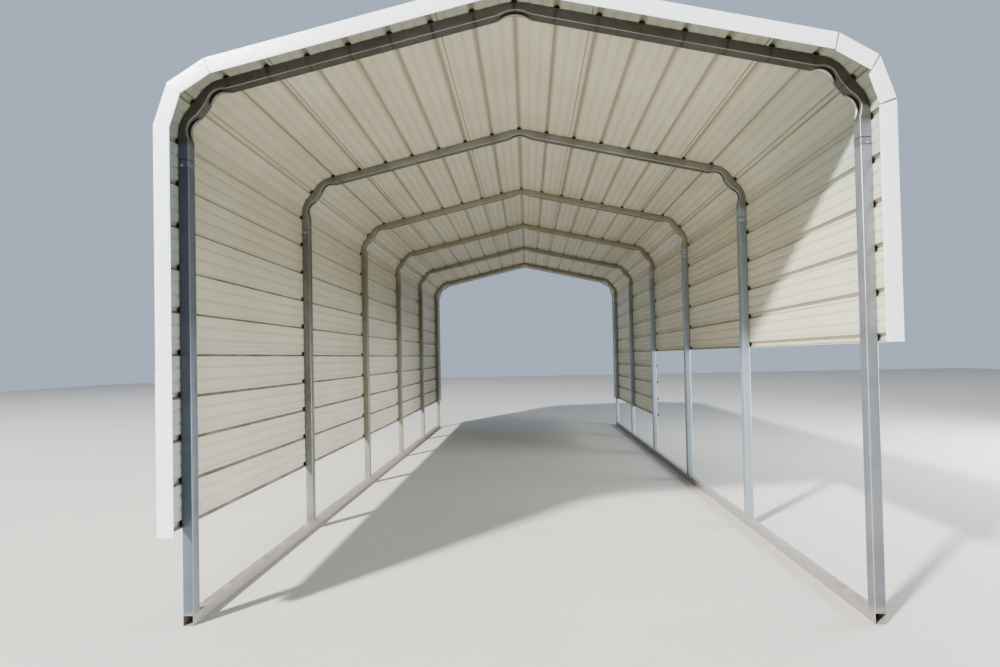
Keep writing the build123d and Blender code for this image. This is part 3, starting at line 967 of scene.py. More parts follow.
# The outline
@dataclass(frozen=True)
class Outline:
    """Path over the outer faces of a bow, measured from the ridge.

    A place on it is a distance along the path, negative on the left, and a height outside it.
    """

    half_width: float = 1.8288
    tube: float = 0.05715
    leg_length: float = 2.4384
    end_straight: float = 0.135
    slope_degrees: float = 12.75
    ridge_radius: float = 0.350
    corner_radius: float = 0.193
    corner_run: float = 0.137
    pieces: tuple[tuple[float, float, float, float, float], ...] = field(init=False)

    def __post_init__(self) -> None:
        """Lays the straight and bent pieces from the ridge to the ground."""
        slope = math.radians(self.slope_degrees)
        turn = (math.pi / 2 - slope) / 2
        roof = (self.half_width - self.ridge_radius * math.sin(slope)
                - self.corner_radius * (1 - math.sin(slope))
                - self.corner_run * math.cos(slope + turn)) / math.cos(slope)
        ridge = (self.tube + self.leg_length + self.end_straight
                 + self.corner_radius * math.cos(slope)
                 + self.corner_run * math.sin(slope + turn) + roof * math.sin(slope)
                 + self.ridge_radius * (1 - math.cos(slope)))
        arc = self.corner_radius * turn
        wall = self.tube + self.leg_length + self.end_straight
        plan = ((self.ridge_radius * slope, self.ridge_radius), (roof, 0.0),
                (arc, self.corner_radius), (self.corner_run, 0.0), (arc, self.corner_radius),
                (wall, 0.0))
        laid, at, x, z, angle = [], 0.0, 0.0, ridge, 0.0
        for length, radius in plan:
            laid.append((at, x, z, angle, radius))
            x, z, angle = self.travel(x, z, angle, radius, length)
            at += length
        object.__setattr__(self, "pieces", tuple(laid))

    @staticmethod
    def travel(x: Any, z: Any, angle: Any, radius: float, length: Any) -> tuple[Any, Any, Any]:
        """Moves along a straight piece, or along a bend.

        Args:
            x: X of the start.
            z: Z of the start.
            angle: angle there, downwards from level.
            radius: radius of the bend, or 0 on a straight piece.
            length: how far to move.

        Returns:
            X, Z and the angle at the end.
        """
        if not radius:
            return x + length * np.cos(angle), z - length * np.sin(angle), angle + 0 * length
        after = angle + length / radius
        return (x + radius * (np.sin(after) - np.sin(angle)),
                z + radius * (np.cos(after) - np.cos(angle)), after)

    @property
    def foot_at(self) -> float:
        """Place on the path where a bow ends and its leg begins."""
        return self.pieces[5][0] + self.end_straight

    @property
    def leg_x(self) -> float:
        """Distance of the middle of a leg from the middle of the bay."""
        return self.half_width - self.tube / 2

    def bends(self) -> list[Pair]:
        """Finds the bends of the path.

        Returns:
            Where each one starts and ends, from left to right.
        """
        right = [(self.pieces[n][0], self.pieces[n + 1][0]) for n in (2, 4)]
        left = [(-end, -start) for start, end in reversed(right)]
        return left + [(-self.pieces[1][0], self.pieces[1][0])] + right

    def place(self, at: Array, height: Array | float) -> tuple[Array, ...]:
        """X, Z and the outward direction for places on the path.

        Args:
            at: distances along the path.
            height: heights outside it.

        Returns:
            X, Z, and the X and Z parts of the outward direction, one of each per place.
        """
        at = np.asarray(at, float)
        far, side = np.abs(at), np.where(at < 0, -1.0, 1.0)
        x, z, angle = np.zeros(far.shape), np.zeros(far.shape), np.zeros(far.shape)
        for start, px, pz, slope, radius in self.pieces:
            on = far >= start - NO_STEP
            nx, nz, na = self.travel(px, pz, slope, radius, far - start)
            x, z, angle = np.where(on, nx, x), np.where(on, nz, z), np.where(on, na, angle)
        over, rise = np.sin(angle), np.cos(angle)
        return side * (x + height * over), z + height * rise, side * over, rise

    def point(self, at: float, height: float) -> tuple[Triple, Triple]:
        """One place on the path as a point and its outward direction.

        Args:
            at: distance along the path.
            height: height outside it.

        Returns:
            The point with a Y of 0, and the direction.
        """
        x, z, over, rise = (float(value) for value in self.place(np.array(at), height))
        return (x, 0.0, z), (over, 0.0, rise)


# Square tube
@dataclass
class SquareTube:
    """Section of the frame's tube, and the lengths that are cut from it."""

    material: Material
    size: float = 0.05715
    wall: float = 0.00266
    corner: float = 0.0046
    corner_cuts: int = 4

    def ring(self, size: float, corner: float, across: Iterable[float] = ()) -> Array:
        """Points round a square with rounded corners, centred, counter-clockwise.

        Args:
            size: width over the flats.
            corner: radius of the corners.
            across: extra points on the lower flat, as shares of its half width.

        Returns:
            Rows of two numbers; the lower flat comes first, from left to right.
        """
        half = size / 2 - corner
        points = [(share * half, -size / 2) for share in sorted(across)]
        for quarter, (sx, sy) in enumerate(((1, -1), (1, 1), (-1, 1), (-1, -1))):
            for step in range(self.corner_cuts + 1):
                turn = math.radians(-90 + 90 * quarter + 90 * step / self.corner_cuts)
                points.append((sx * half + corner * math.cos(turn),
                               sy * half + corner * math.sin(turn)))
        return np.array(points)

    def seam_lengths(self, ring: Array) -> Array:
        """Distance round the ring to each of its points."""
        return np.concatenate(([0.0], np.cumsum(np.hypot(*np.diff(ring, axis=0).T))))

    def corner_share(self, flats: int = 0) -> Array:
        """How near each point of a ring is to the middle of a corner, after some flat points."""
        corner = np.sin(np.linspace(0, math.pi, self.corner_cuts + 1))
        return np.concatenate((np.zeros(flats), np.tile(corner, 4)))

    def skin(self, name: str, rings: list[Array], along: Iterable[float],
             shape: Array, looped: bool = False, **shares: Array) -> Piece:
        """Skin through rings of points.

        Args:
            name: name of the piece.
            rings: places of the points, ring by ring.
            along: length along the tube of each ring.
            shape: ring that the distances round the tube are measured on.
            looped: whether the last ring joins the first one; if not, both ends are capped.
            shares: more numbers that the finish needs, one for each point of each ring.

        Returns:
            The piece, with what its finish needs stored on its points.
        """
        mesh = bpy.data.meshes.new(name)
        count = len(shape)
        mesh.from_pydata(np.concatenate(rings), [], grid_faces(len(rings), count, looped))
        flats = count - 4 * (self.corner_cuts + 1)
        add_value(mesh, "along", np.repeat(np.array(along), count))
        add_value(mesh, "around", np.tile(self.seam_lengths(shape), len(rings)))
        add_value(mesh, "edge", np.tile(self.corner_share(flats), len(rings)))
        for key, values in shares.items():
            add_value(mesh, key, values.ravel())
        return as_piece(name, mesh, self.material, CREASE)


@dataclass
class Leg:
    """One leg: a plain length of tube whose top is drawn in a little below the joint."""

    tube: SquareTube
    outline: Outline
    side: Side
    number: int
    y: float
    joint_gap: float = 0.0012
    edge: float = 0.0016
    bead_below: float = 0.037
    bead_depth: float = 0.0012
    bead_half: float = 0.0035
    stain: float = 0.004
    foot_dark: Pair = (1.0, 0.6)
    bead_shade: float = 0.25
    top_dark: Pair = (0.2, 0.5)
    middle: float = 1.2
    pattern_step: float = 1.7

    def plan(self) -> list[Triple]:
        """Sets out the rings.

        Returns:
            Height, shift of the faces outwards and dark share of each, from the foot up: corrosion
            and dirt at the foot and the joint, painted shade in the bead.
        """
        foot = self.tube.size
        top = foot + self.outline.leg_length - self.joint_gap
        bead, half = top - self.bead_below, self.bead_half
        return [(foot, -self.edge, self.foot_dark[0]), (foot + self.edge, 0.0, self.foot_dark[1]),
                (foot + self.stain, 0.0, 0.0), (self.middle, 0.0, 0.0), (bead - half, 0.0, 0.0),
                (bead - half / 2, -self.bead_depth, self.bead_shade),
                (bead + half / 2, -self.bead_depth, self.bead_shade), (bead + half, 0.0, 0.0),
                (top - self.stain, 0.0, 0.0), (top - self.edge, 0.0, self.top_dark[0]),
                (top, -self.edge, self.top_dark[1])]

    def build(self) -> Piece:
        """Makes the leg from its foot to the joint with the bow.

        Returns:
            The piece.
        """
        tube, plan = self.tube, self.plan()
        shape = tube.ring(tube.size, tube.corner)
        middle = np.array((self.side.value * self.outline.leg_x, self.y))
        rings = [np.column_stack((middle + shape * (1 + 2 * shift / tube.size),
                                  np.full(len(shape), z))) for z, shift, _ in plan]
        piece = tube.skin(f"leg_tube_{self.side.word}_{self.number}", rings,
                          [z + self.number * self.pattern_step for z, _, _ in plan], shape,
                          dark=np.repeat([dark for _, _, dark in plan], len(shape)))
        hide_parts(f"leg_{self.side.word}_{self.number}")
        return piece


@dataclass
class GroundRail:
    """Rail on the ground, open at both ends."""

    tube: SquareTube
    outline: Outline
    side: Side
    length: float
    edge: float = 0.0006
    middle: float = 1.2

    def build(self) -> Piece:
        """Makes the rail with its bore.

        Returns:
            The piece.
        """
        tube = self.tube
        outer = tube.ring(tube.size, tube.corner)
        inner = tube.ring(tube.size - 2 * tube.wall, tube.corner - tube.wall)
        half, eased = self.length / 2, 1 - 2 * self.edge / tube.size
        plan = [(outer, half - self.edge, 1.0), (outer, half, eased), (inner, half, 1.0),
                (inner, -half, 1.0), (outer, -half, eased), (outer, self.edge - half, 1.0),
                (outer, -self.middle, 1.0), (outer, self.middle, 1.0)]
        rings = [np.column_stack((self.side.value * self.outline.leg_x + shape[:, 0] * share,
                                  np.full(len(shape), y), tube.size / 2 + shape[:, 1] * share))
                 for shape, y, share in plan]
        piece = tube.skin(f"ground_rail_tube_{self.side.word}", rings, [y for _, y, _ in plan],
                          outer, looped=True)
        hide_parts(f"ground_rail_{self.side.word}")
        return piece


@dataclass
class Bow:
    """One bow: the tube bent over the outline, crushed by the die on the inside of each bend."""

    tube: SquareTube
    outline: Outline
    number: int
    y: float
    # dents
    crush: float = 0.0135
    rim: float = 0.0012
    corner_trough: float = 0.0078
    ridge_trough: float = 0.0066
    trough_front: float = -0.0135
    trough_back: float = 0.0180
    trough_side: float = 0.0040
    trough_lean: float = 0.014
    lean_power: float = 1.5
    reach_fall: float = 1.10
    run_out: float = 0.028
    dent_end: float = 1.45
    wander: float = 0.004
    wander_turns: Pair = (2.4, 1.7)
    side_bulge: float = 0.0014
    bulge_from: float = 0.45
    # painted shade and highlights of the dents, and the dark foot
    trough_shade: float = 1.6
    burnish_run: float = 0.5
    shine_shares: Pair = (0.35, 1.0)
    shine_from: float = 1.0
    foot_dark: float = 0.6
    foot_stain: float = 0.006
    pattern_step: float = 2.286
    # foot that slides into the leg
    spigot: float = 0.120
    spigot_clearance: float = 0.0005
    spigot_top: float = 0.0006
    shoulder: float = 0.001
    foot_edge: float = 0.0024
    # rings
    dent_step: float = 0.0048
    dent_margin: float = 1.5
    straight_rings: int = 30
    ring_gap: float = 0.03
    across: tuple[float, ...] = (-0.72, -0.57, -0.49, -0.42, -0.34, -0.22, -0.08, 0.06, 0.20,
                                 0.34, 0.44, 0.50, 0.56, 0.62, 0.70, 0.82, 0.94)

    def stations(self) -> Array:
        """Finds where the tube needs a ring: close together in the dents, far apart between.

        Returns:
            Places along the path, in order.
        """
        foot = self.outline.foot_at
        stops = {sign * (foot - inset) for sign in (-1, 1)
                 for inset in (0.0, self.foot_edge, self.foot_stain)}
        for start, end in self.outline.bends():
            run = self.run_out * self.dent_margin
            rings = round((end - start + 2 * run) / self.dent_step)
            stops |= set(np.linspace(start - run, end + run, rings))
        for at in np.linspace(-foot, foot, self.straight_rings):
            if all(abs(at - stop) > self.ring_gap for stop in stops):
                stops.add(float(at))
        return np.array(sorted(stops))

    def push(self, at: float) -> tuple[float, float, float]:
        """How far the inner wall is crushed at a place.

        Args:
            at: place on the path.

        Returns:
            Push of the whole inner wall, greatest depth of the trough along its middle, and the
            square of the share of the dent's half length that lies between its middle and there.
        """
        each_bow, each_bend = self.wander_turns
        for order, (start, end) in enumerate(self.outline.bends()):
            shift = self.wander * math.sin(each_bow * self.number + each_bend * order)
            share = abs(at - (start + end) / 2 - shift) / ((end - start) / 2 + self.run_out)
            if share < self.dent_end:
                pressed = self.crush * (1 - share ** 2)
                deep = self.ridge_trough if start < 0 < end else self.corner_trough
                return (pressed + math.hypot(pressed, self.rim)) / 2, deep, share ** 2
        return 0.0, 0.0, 1.0

    def build(self) -> Piece:
        """Makes the bow with a spigot at each foot.

        Returns:
            The piece.
        """
        tube, foot = self.tube, self.outline.foot_at
        shape = tube.ring(tube.size, tube.corner, self.across)
        low = np.clip((tube.size / 2 - shape[:, 1]) / tube.size, 0, 1)
        flat = np.isclose(shape[:, 1], -tube.size / 2)
        on_side = np.abs(shape[:, 0]) > tube.size * self.bulge_from
        bulge = np.sin(np.pi * low) * np.sign(shape[:, 0]) * on_side
        rings, along, dark, shine = [], [], [], []
        for at in self.stations():
            pressed, deep, used = self.push(at)
            hollow, rim = self.trough(shape[:, 0], flat, used)
            height = shape[:, 1] - tube.size / 2 + low * pressed + hollow * deep
            y = self.y + shape[:, 0] + bulge * self.side_bulge * pressed / self.crush
            from_foot = foot - abs(at)
            stain = self.foot_dark * max(0.0, 1 - from_foot / self.foot_stain)
            if from_foot < NO_LENGTH:
                share = 1 - 2 * self.foot_edge / tube.size
                height = (height + tube.size / 2) * share - tube.size / 2
                y = self.y + shape[:, 0] * share
            x, z, _, _ = self.outline.place(np.full(len(shape), at), height)
            rings.append(np.column_stack((x, y, z)))
            along.append(at)
            # dirt and painted shade in the trough, and the dark foot joint
            marked = np.clip(hollow * self.trough_shade, 0, 1) * (1 - rim)
            dark.append(np.maximum(marked, stain))
            # painted highlight on the wall behind the trough, full on the right bends
            shine.append(rim * self.reach(used) * self.shine_shares[int(at >= self.shine_from)])
        clean = [np.zeros(len(shape))] * 2
        rings = self.spigot_rings(-1)[::-1] + rings + self.spigot_rings(1)
        top, end = foot + self.shoulder, foot + self.spigot
        along = [at + self.number * self.pattern_step for at in (-end, -top, *along, top, end)]
        piece = tube.skin(f"bow_tube_{self.number}", rings, along, shape,
                          dark=np.array(clean + dark + clean),
                          shine=np.array(clean + shine + clean))
        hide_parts(f"bow_{self.number}")
        return piece

    def reach(self, used: float) -> float:
        """Share of a dent's depth that is left at a square share of its half length."""
        return math.sqrt(max(0.0, 1 - self.reach_fall * used))

    def trough(self, place: Array, flat: Array,
               used: float) -> tuple[Array, Array]:
        """Shape of the dent's trough across the tube.

        Args:
            place: distances from the middle of the tube, front to back.
            flat: which points lie on the inner wall.
            used: square of the share of the dent's half length from its middle.

        Returns:
            Share of the trough's depth at each point, and share of the wall behind it, which
            carries a painted highlight.
        """
        length = self.reach(used)
        front = self.trough_front + self.trough_lean * used ** self.lean_power
        rise = np.clip((place - front) / self.trough_side, 0, 1)
        fall = np.clip((self.trough_back - place) / self.trough_side, 0, 1)
        smooth = (rise * rise * (3 - 2 * rise)) * (fall * fall * (3 - 2 * fall))
        past = place - self.trough_back + self.trough_side
        behind = np.clip(past / (self.burnish_run * self.trough_side), 0, 1)
        return np.where(flat, smooth * length, 0.0), np.where(flat, behind, 0.0)

    def spigot_rings(self, side: int) -> list[Array]:
        """Makes the narrower foot that slides into the leg.

        Args:
            side: sign of X.

        Returns:
            Two rings, from the shoulder down.
        """
        tube = self.tube
        size = tube.size - 2 * tube.wall - 2 * self.spigot_clearance
        shape = tube.ring(size, tube.corner - tube.wall, self.across)
        top = tube.size + self.outline.leg_length
        x, y = side * (self.outline.leg_x + shape[:, 1]), self.y + shape[:, 0]
        return [np.column_stack((x, y, np.full(len(shape), z)))
                for z in (top - self.spigot_top, top - self.spigot)]


# Pieces made by Geometry Nodes
class PieceTree:
    """Geometry Nodes that turn a marked mesh into a solid piece.

    A tree of its own kind gives its name, the kinds of its named inputs, and wire().
    """

    name: str
    sockets: dict[str, str]

    def __init__(self) -> None:
        """Builds the node tree once, for every piece that it makes."""
        self.tree = bpy.data.node_groups.new(self.name, "GeometryNodeTree")
        for name, kind in {"Geometry": "Geometry", **self.sockets, "Finish": "Material"}.items():
            self.tree.interface.new_socket(name, in_out="INPUT", socket_type="NodeSocket" + kind)
        self.tree.interface.new_socket("Geometry", in_out="OUTPUT",
                                       socket_type="NodeSocketGeometry")
        self.nodes = nodes = NodeTree(self.tree)
        self.given = nodes.node("NodeGroupInput").outputs
        solid = nodes.node("GeometryNodeRealizeInstances", {0: self.wire()}).outputs[0]
        done = nodes.node("GeometryNodeSetMaterial", {0: solid, "Material": self.given["Finish"]})
        nodes.node("NodeGroupOutput", {0: done.outputs[0]})

    def wire(self) -> Socket:
        """Wires the part of the tree that makes the piece.

        Returns:
            The piece's socket.
        """
        raise NotImplementedError

    def carried(self, name: str, kind: str = "FLOAT_VECTOR") -> Socket:
        """A value that the points of the mesh carry."""
        return self.nodes.node("GeometryNodeInputNamedAttribute", {"Name": name},
                               data_type=kind).outputs[0]

    def run(self, name: str, start: Mesh, **inputs: Any) -> Mesh:
        """Runs the tree on a mesh.

        Args:
            name: name of the result.
            start: mesh that the tree starts from.
            inputs: values for its named inputs, with _ for a space.

        Returns:
            The result as a plain mesh, with no modifier left.
        """
        holder = linked(name + "_start", start)
        modifier = holder.modifiers.new("nodes", "NODES")
        modifier.node_group = self.tree
        sockets = {item.name: item.identifier for item in self.tree.interface.items_tree
                   if item.in_out == "INPUT"}
        for key, value in inputs.items():
            modifier[sockets[key.replace("_", " ")]] = value
        holder.update_tag()
        result = holder.evaluated_get(bpy.context.evaluated_depsgraph_get())
        mesh = bpy.data.meshes.new_from_object(result)
        holder.modifiers.clear()
        bpy.data.objects.remove(holder)
        return mesh


# Ribbed sheets
@dataclass(frozen=True)
class SheetProfile:
    """Rolled section of the sheets: a big rib each pitch and two low ribs in each pan."""

    pitch: float = 0.2286
    height: float = 0.019
    base: float = 0.044
    top: float = 0.016
    low_height: float = 0.0025
    low_base: float = 0.024
    low_top: float = 0.012
    low_places: Pair = (0.345, 0.655)
    thickness: float = 0.0008
    gap: float = 0.0003
    bearing_leg: float = 0.015
    lap_gap: float = 0.0001
    lap_jog: float = 0.006
    edge_lip: float = 0.003
    bend_radius: float = 0.0026
    bend_cuts: int = 3

    @property
    def level(self) -> float:
        """Height of the outer face of a pan."""
        return self.gap + self.thickness

    def rib(self, place: float, base: float, top: float, height: float) -> list[Pair]:
        """Sets out a rib on the flat sheet.

        Args:
            place: its middle, in pitches from the ridge.
            base: width at its foot.
            top: width at its top.
            height: how far it stands up.

        Returns:
            Its four corners.
        """
        middle, foot = place * self.pitch, self.gap
        return [(middle - base / 2, foot), (middle - top / 2, foot + height),
                (middle + top / 2, foot + height), (middle + base / 2, foot)]

    def big(self, place: float) -> list[Pair]:
        """Corners of a big rib."""
        return self.rib(place, self.base, self.top, self.height)

    def covering(self, place: float) -> list[Pair]:
        """Sets out the rib that lies over the upper edge of the next sheet down.

        Args:
            place: its middle, in pitches from the ridge.

        Returns:
            Its corners, from the pan above it on.
        """
        below = self.big(place)
        line = [(below[0][0] - self.bearing_leg - self.edge_lip, self.gap), *below,
                (below[3][0] + self.edge_lip, self.gap)]
        lifted = beside(np.array(line), self.thickness + self.lap_gap)
        return [(lifted[0][0] - self.lap_jog, self.gap)] + [tuple(p) for p in lifted]

    def inner_line(self, first: int, last: int, covers: bool) -> Array:
        """Sets out the inner face of a flat sheet, with its bends rounded.

        Args:
            first: rib that it starts with; from 0 the sheet lies on both sides of the ridge.
            last: rib that it ends with.
            covers: whether its last rib lies over the next sheet down.

        Returns:
            The line as rows of place and height.
        """
        corners = self.big(first)
        if first == 0:
            corners = corners[2:]
        else:
            corners.insert(0, (corners[0][0] - self.bearing_leg, self.gap))
        for rib in range(first, last):
            for share in self.low_places:
                corners += self.rib(rib + share, self.low_base, self.low_top, self.low_height)
            if rib + 1 < last:
                corners += self.big(rib + 1)
        if covers:
            corners += self.covering(last)
        else:
            corners += [*self.big(last), (self.big(last)[3][0] + self.edge_lip, self.gap)]
        if first == 0:
            corners = [(-at, height) for at, height in reversed(corners)] + corners
        return rounded(corners, self.bend_radius, self.bend_cuts)


class SheetRoller(PieceTree):
    """Runs a section along the building and lets its pans ripple between the bows."""

    name = "ribbed_sheet"
    sockets = {"Start": "Float", "End": "Float", "Stations": "Int", "Ripple": "Float",
               "Bow Spacing": "Float", "First Bow": "Float", "Seed": "Float"}
    spent = ("section_place", "line_place", "outward", "slack")
    free_power = 1.5
    wave_stretch: Pair = (2.4, 1.5)
    wave_noise: Noise = (1.6, 2.0, 0.5)
    wave_middle = 0.5
    store = {"data_type": "FLOAT_VECTOR", "domain": "POINT"}

    def wire(self) -> Socket:
        """Wires the section along a line, the places of its points and the ripple.

        Returns:
            The sheet's socket.
        """
        nodes, given = self.nodes, self.given
        self.here = nodes.node("GeometryNodeInputPosition").outputs[0]
        section = nodes.node("GeometryNodeMeshToCurve", {0: given["Geometry"]}).outputs[0]
        line = nodes.node("GeometryNodeCurvePrimitiveLine", {
            "Start": nodes.joined(0.0, given["Start"], 0.0),
            "End": nodes.joined(0.0, given["End"], 0.0)}).outputs[0]
        line = nodes.node("GeometryNodeResampleCurve", {
            0: line, "Count": given["Stations"]}).outputs[0]
        swept = nodes.node("GeometryNodeCurveToMesh", {
            0: self.marked(line, "line_place"),
            "Profile Curve": self.marked(section, "section_place"),
            "Fill Caps": True}).outputs[0]
        place = nodes.vector("ADD", self.carried("section_place"),
                             self.carried("line_place"))
        y = nodes.parts(place)[1]
        bay = nodes.math("DIVIDE", nodes.less(y, given["First Bow"]), given["Bow Spacing"])
        arch = nodes.size_of(nodes.math("SINE", nodes.times(bay, math.pi)))
        free = nodes.math("POWER", arch, self.free_power)
        across, along = self.wave_stretch
        wave = nodes.joined(nodes.times(self.carried("at", "FLOAT"), across),
                            nodes.times(y, along), given["Seed"])
        wave = nodes.less(nodes.noise(wave, *self.wave_noise), self.wave_middle)
        slack = nodes.times(self.carried("slack", "FLOAT"), given["Ripple"])
        lift = nodes.times(nodes.times(wave, free), slack)
        lifted = nodes.node("ShaderNodeVectorMath", {
            0: self.carried("outward"), "Scale": lift}, operation="SCALE").outputs[0]
        return nodes.node("GeometryNodeSetPosition", {
            0: swept, "Position": nodes.vector("ADD", place, lifted)}).outputs[0]

    def marked(self, curve: Socket, name: str) -> Socket:
        """A curve whose points carry their own place under a name."""
        inputs = {0: curve, "Name": name, "Value": self.here}
        return self.nodes.node("GeometryNodeStoreNamedAttribute", inputs, **self.store).outputs[0]


@dataclass
class RibbedSheet:
    """One sheet of the roof or a wall, from rib to rib, bent over the outline."""

    node: str
    first: int
    last: int
    profile: SheetProfile
    outline: Outline
    roller: SheetRoller
    material: Material
    first_bow: float
    bow_spacing: float
    start: float
    end: float
    side: int = 1
    covers: bool = True
    station_step: float = 0.16
    bend_step: float = 0.012
    ripple: float = 0.0030
    seed_step: int = 3
    crease: float = 35.0

    def section(self) -> Mesh:
        """Makes the sheet's section, with what its points carry.

        Returns:
            A closed loop of edges.
        """
        profile = self.profile
        inner = profile.inner_line(self.first, self.last, self.covers)
        inner = split_long(inner, self.bend_step, self.outline.bends())
        loop = np.vstack((inner, beside(inner, profile.thickness)[::-1]))
        at = np.concatenate((inner[:, 0], inner[::-1, 0]))
        x, z, over, rise = self.outline.place(loop[:, 0], loop[:, 1])
        mesh = bpy.data.meshes.new(self.node + "_section")
        points = np.column_stack((self.side * x, np.zeros(len(x)), z))
        count = len(points)
        mesh.from_pydata(points, [(n, (n + 1) % count) for n in range(count)], [])
        pan = np.abs((np.abs(at) / profile.pitch + 0.5) % 1 - 0.5) * profile.pitch
        slack = np.clip((pan - profile.base / 2) / (profile.pitch / 2 - profile.base / 2), 0, 1)
        add_value(mesh, "at", self.side * at)
        add_value(mesh, "slack", np.sin(slack * math.pi / 2))
        add_value(mesh, "inside", np.repeat((1.0, 0.0), len(inner)))
        add_value(mesh, "outward", np.column_stack((self.side * over, np.zeros(count), rise)))
        return mesh

    def build(self) -> Piece:
        """Makes the sheet.

        Returns:
            The piece.
        """
        stations = round((self.end - self.start) / self.station_step) + 1
        mesh = self.roller.run(
            self.node, self.section(), Start=self.start, End=self.end, Stations=stations,
            Ripple=self.ripple, Bow_Spacing=self.bow_spacing, First_Bow=self.first_bow,
            Seed=float(self.first * self.seed_step + self.side), Finish=self.material)
        for name in self.roller.spent:
            layer = mesh.attributes.get(name)
            if layer is not None:
                mesh.attributes.remove(layer)
        piece = as_piece(f"painted_{self.node}", mesh, self.material, self.crease)
        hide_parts(self.node)
        return piece


# Edge trim
@dataclass
class EdgeTrim:
    """Folded strips round one open end: a face, a flange over the sheets and a hem."""

    outline: Outline
    material: Material
    level: float = 0.0222
    thickness: float = 0.001
    face: float = 0.085
    flange: float = 0.060
    hem: float = 0.008
    hem_skins: float = 2.2
    fold: float = 0.0022
    fold_cuts: int = 4
    sheet_gap: float = 0.0003
    corner_reach: float = 0.014
    corner_stand_off: float = 0.021
    # joints between the strips
    seams: dict[tuple[Side, int], float] = field(default_factory=lambda: {
        (Side.LEFT, 1): 0.0012, (Side.RIGHT, 1): 0.0016, (Side.RIGHT, 2): 0.0030,
        (Side.RIGHT, 3): 0.0048})
    square: tuple[tuple[Side, int], ...] = ((Side.RIGHT, 1), (Side.RIGHT, 2), (Side.RIGHT, 3))
    inner_gap: float = 0.3
    folds: tuple[tuple[Side, int], ...] = ((Side.LEFT, 2), (Side.LEFT, 1))
    fold_reach: Pair = (0.014, 0.019)
    fold_fade: Triple = (0.0, 0.002, 0.02)
    # short strip over the lower end of the left wall's strip
    patch_loose: float = 0.0012
    patch_length: float = 0.836
    patch_lap: float = 0.040
    # waver of the inner edge
    station_step: float = 0.10
    fewest_stations: int = 3
    waver: float = 0.0009
    waver_turns: Pair = (3.6, 2.1)

    def corners(self) -> list[Pair]:
        """Finds the corners of the outer fold.

        Returns:
            X and Z at the ridge, at three corners on the right and at the ground.
        """
        pieces, level = self.outline.pieces, self.level
        points = []
        for at, height in ((pieces[2][0] - self.corner_reach, level),
                           (pieces[3][0] + self.outline.corner_run / 2,
                            level + self.corner_stand_off),
                           (pieces[5][0] + self.corner_reach, level)):
            (x, _, z), _ = self.outline.point(at, height)
            points.append((x, z))
        slope = math.tan(math.radians(self.outline.slope_degrees))
        return [(0.0, points[0][1] + points[0][0] * slope), *points, (points[-1][0], 0.0)]

    def band(self, place: int, depth: float) -> tuple[Array, Array]:
        """Finds the ends of a strip's line at some depth inside its outer fold.

        Args:
            place: number of the corner that the strip starts at, 0 at the ridge.
            depth: the depth.

        Returns:
            X and Z of both ends.
        """
        corners = self.corners()
        mirrored = [(-x, z) for x, z in reversed(corners[1:])] + corners
        line = beside(np.array(mirrored), -depth)[len(corners) - 1:]
        return line[place], line[place + 1]

    def bend(self, place: int) -> float:
        """Measures the angle between the strips that meet at a corner.

        Args:
            place: number of the corner.

        Returns:
            The angle in radians.
        """
        before, here, after = (np.array(self.corners()[n]) for n in (place - 1, place, place + 1))
        ways = [math.atan2(*(stop - start)) for start, stop in ((before, here), (here, after))]
        return ways[1] - ways[0]

    def section(self, loose: float) -> Array:
        """Sets out the closed section of a folded strip.

        Args:
            loose: how much larger it is all round, to slip over another strip.

        Returns:
            Rows of depth and Y, outwards from the sheets' ends.
        """
        skin, deep = self.thickness, self.face + loose
        front = -self.sheet_gap - skin - loose
        outer = [(-loose, front + self.flange), (-loose, front),
                 *((deep - reach, front) for reach in reversed(self.fold_reach)), (deep, front)]
        if not loose:
            back = front + self.hem_skins * skin
            outer += [(deep, back), (deep - self.hem, back)]
        line = rounded(outer, self.fold, self.fold_cuts)
        return np.vstack((line, beside(line, skin)[::-1]))

    def build(self, end: End, sheet_end: float,
              feet: dict[Side, float]) -> list[Piece]:
        """Makes the trim of one open end.

        Args:
            end: which end.
            sheet_end: Y of the sheets' edge there.
            feet: height of the lower edge of each wall's sheets.

        Returns:
            The pieces.
        """
        made = []
        for side in Side:
            patched = end is End.FRONT and side is Side.LEFT
            patch_top = feet[side] + self.patch_length
            wall_foot = patch_top - self.patch_lap if patched else feet[side]
            here = (end, side, sheet_end)
            strips = {"roof": [Strip(self, 0, *here)],
                      "corner": [Strip(self, n, *here) for n in (1, 2)],
                      "wall": [Strip(self, 3, *here, wall_foot)]}
            if patched:
                strips["wall_lower"] = [Strip(self, 3, *here, feet[side], patch_top,
                                              self.patch_loose)]
            for part, parts in strips.items():
                node = f"{end.word}_trim_{side.word}_{part}"
                mesh = merged(node, [strip.build() for strip in parts])
                piece = as_piece(f"white_{node}", mesh, self.material, CREASE)
                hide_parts(node)
                made.append(piece)
        return made


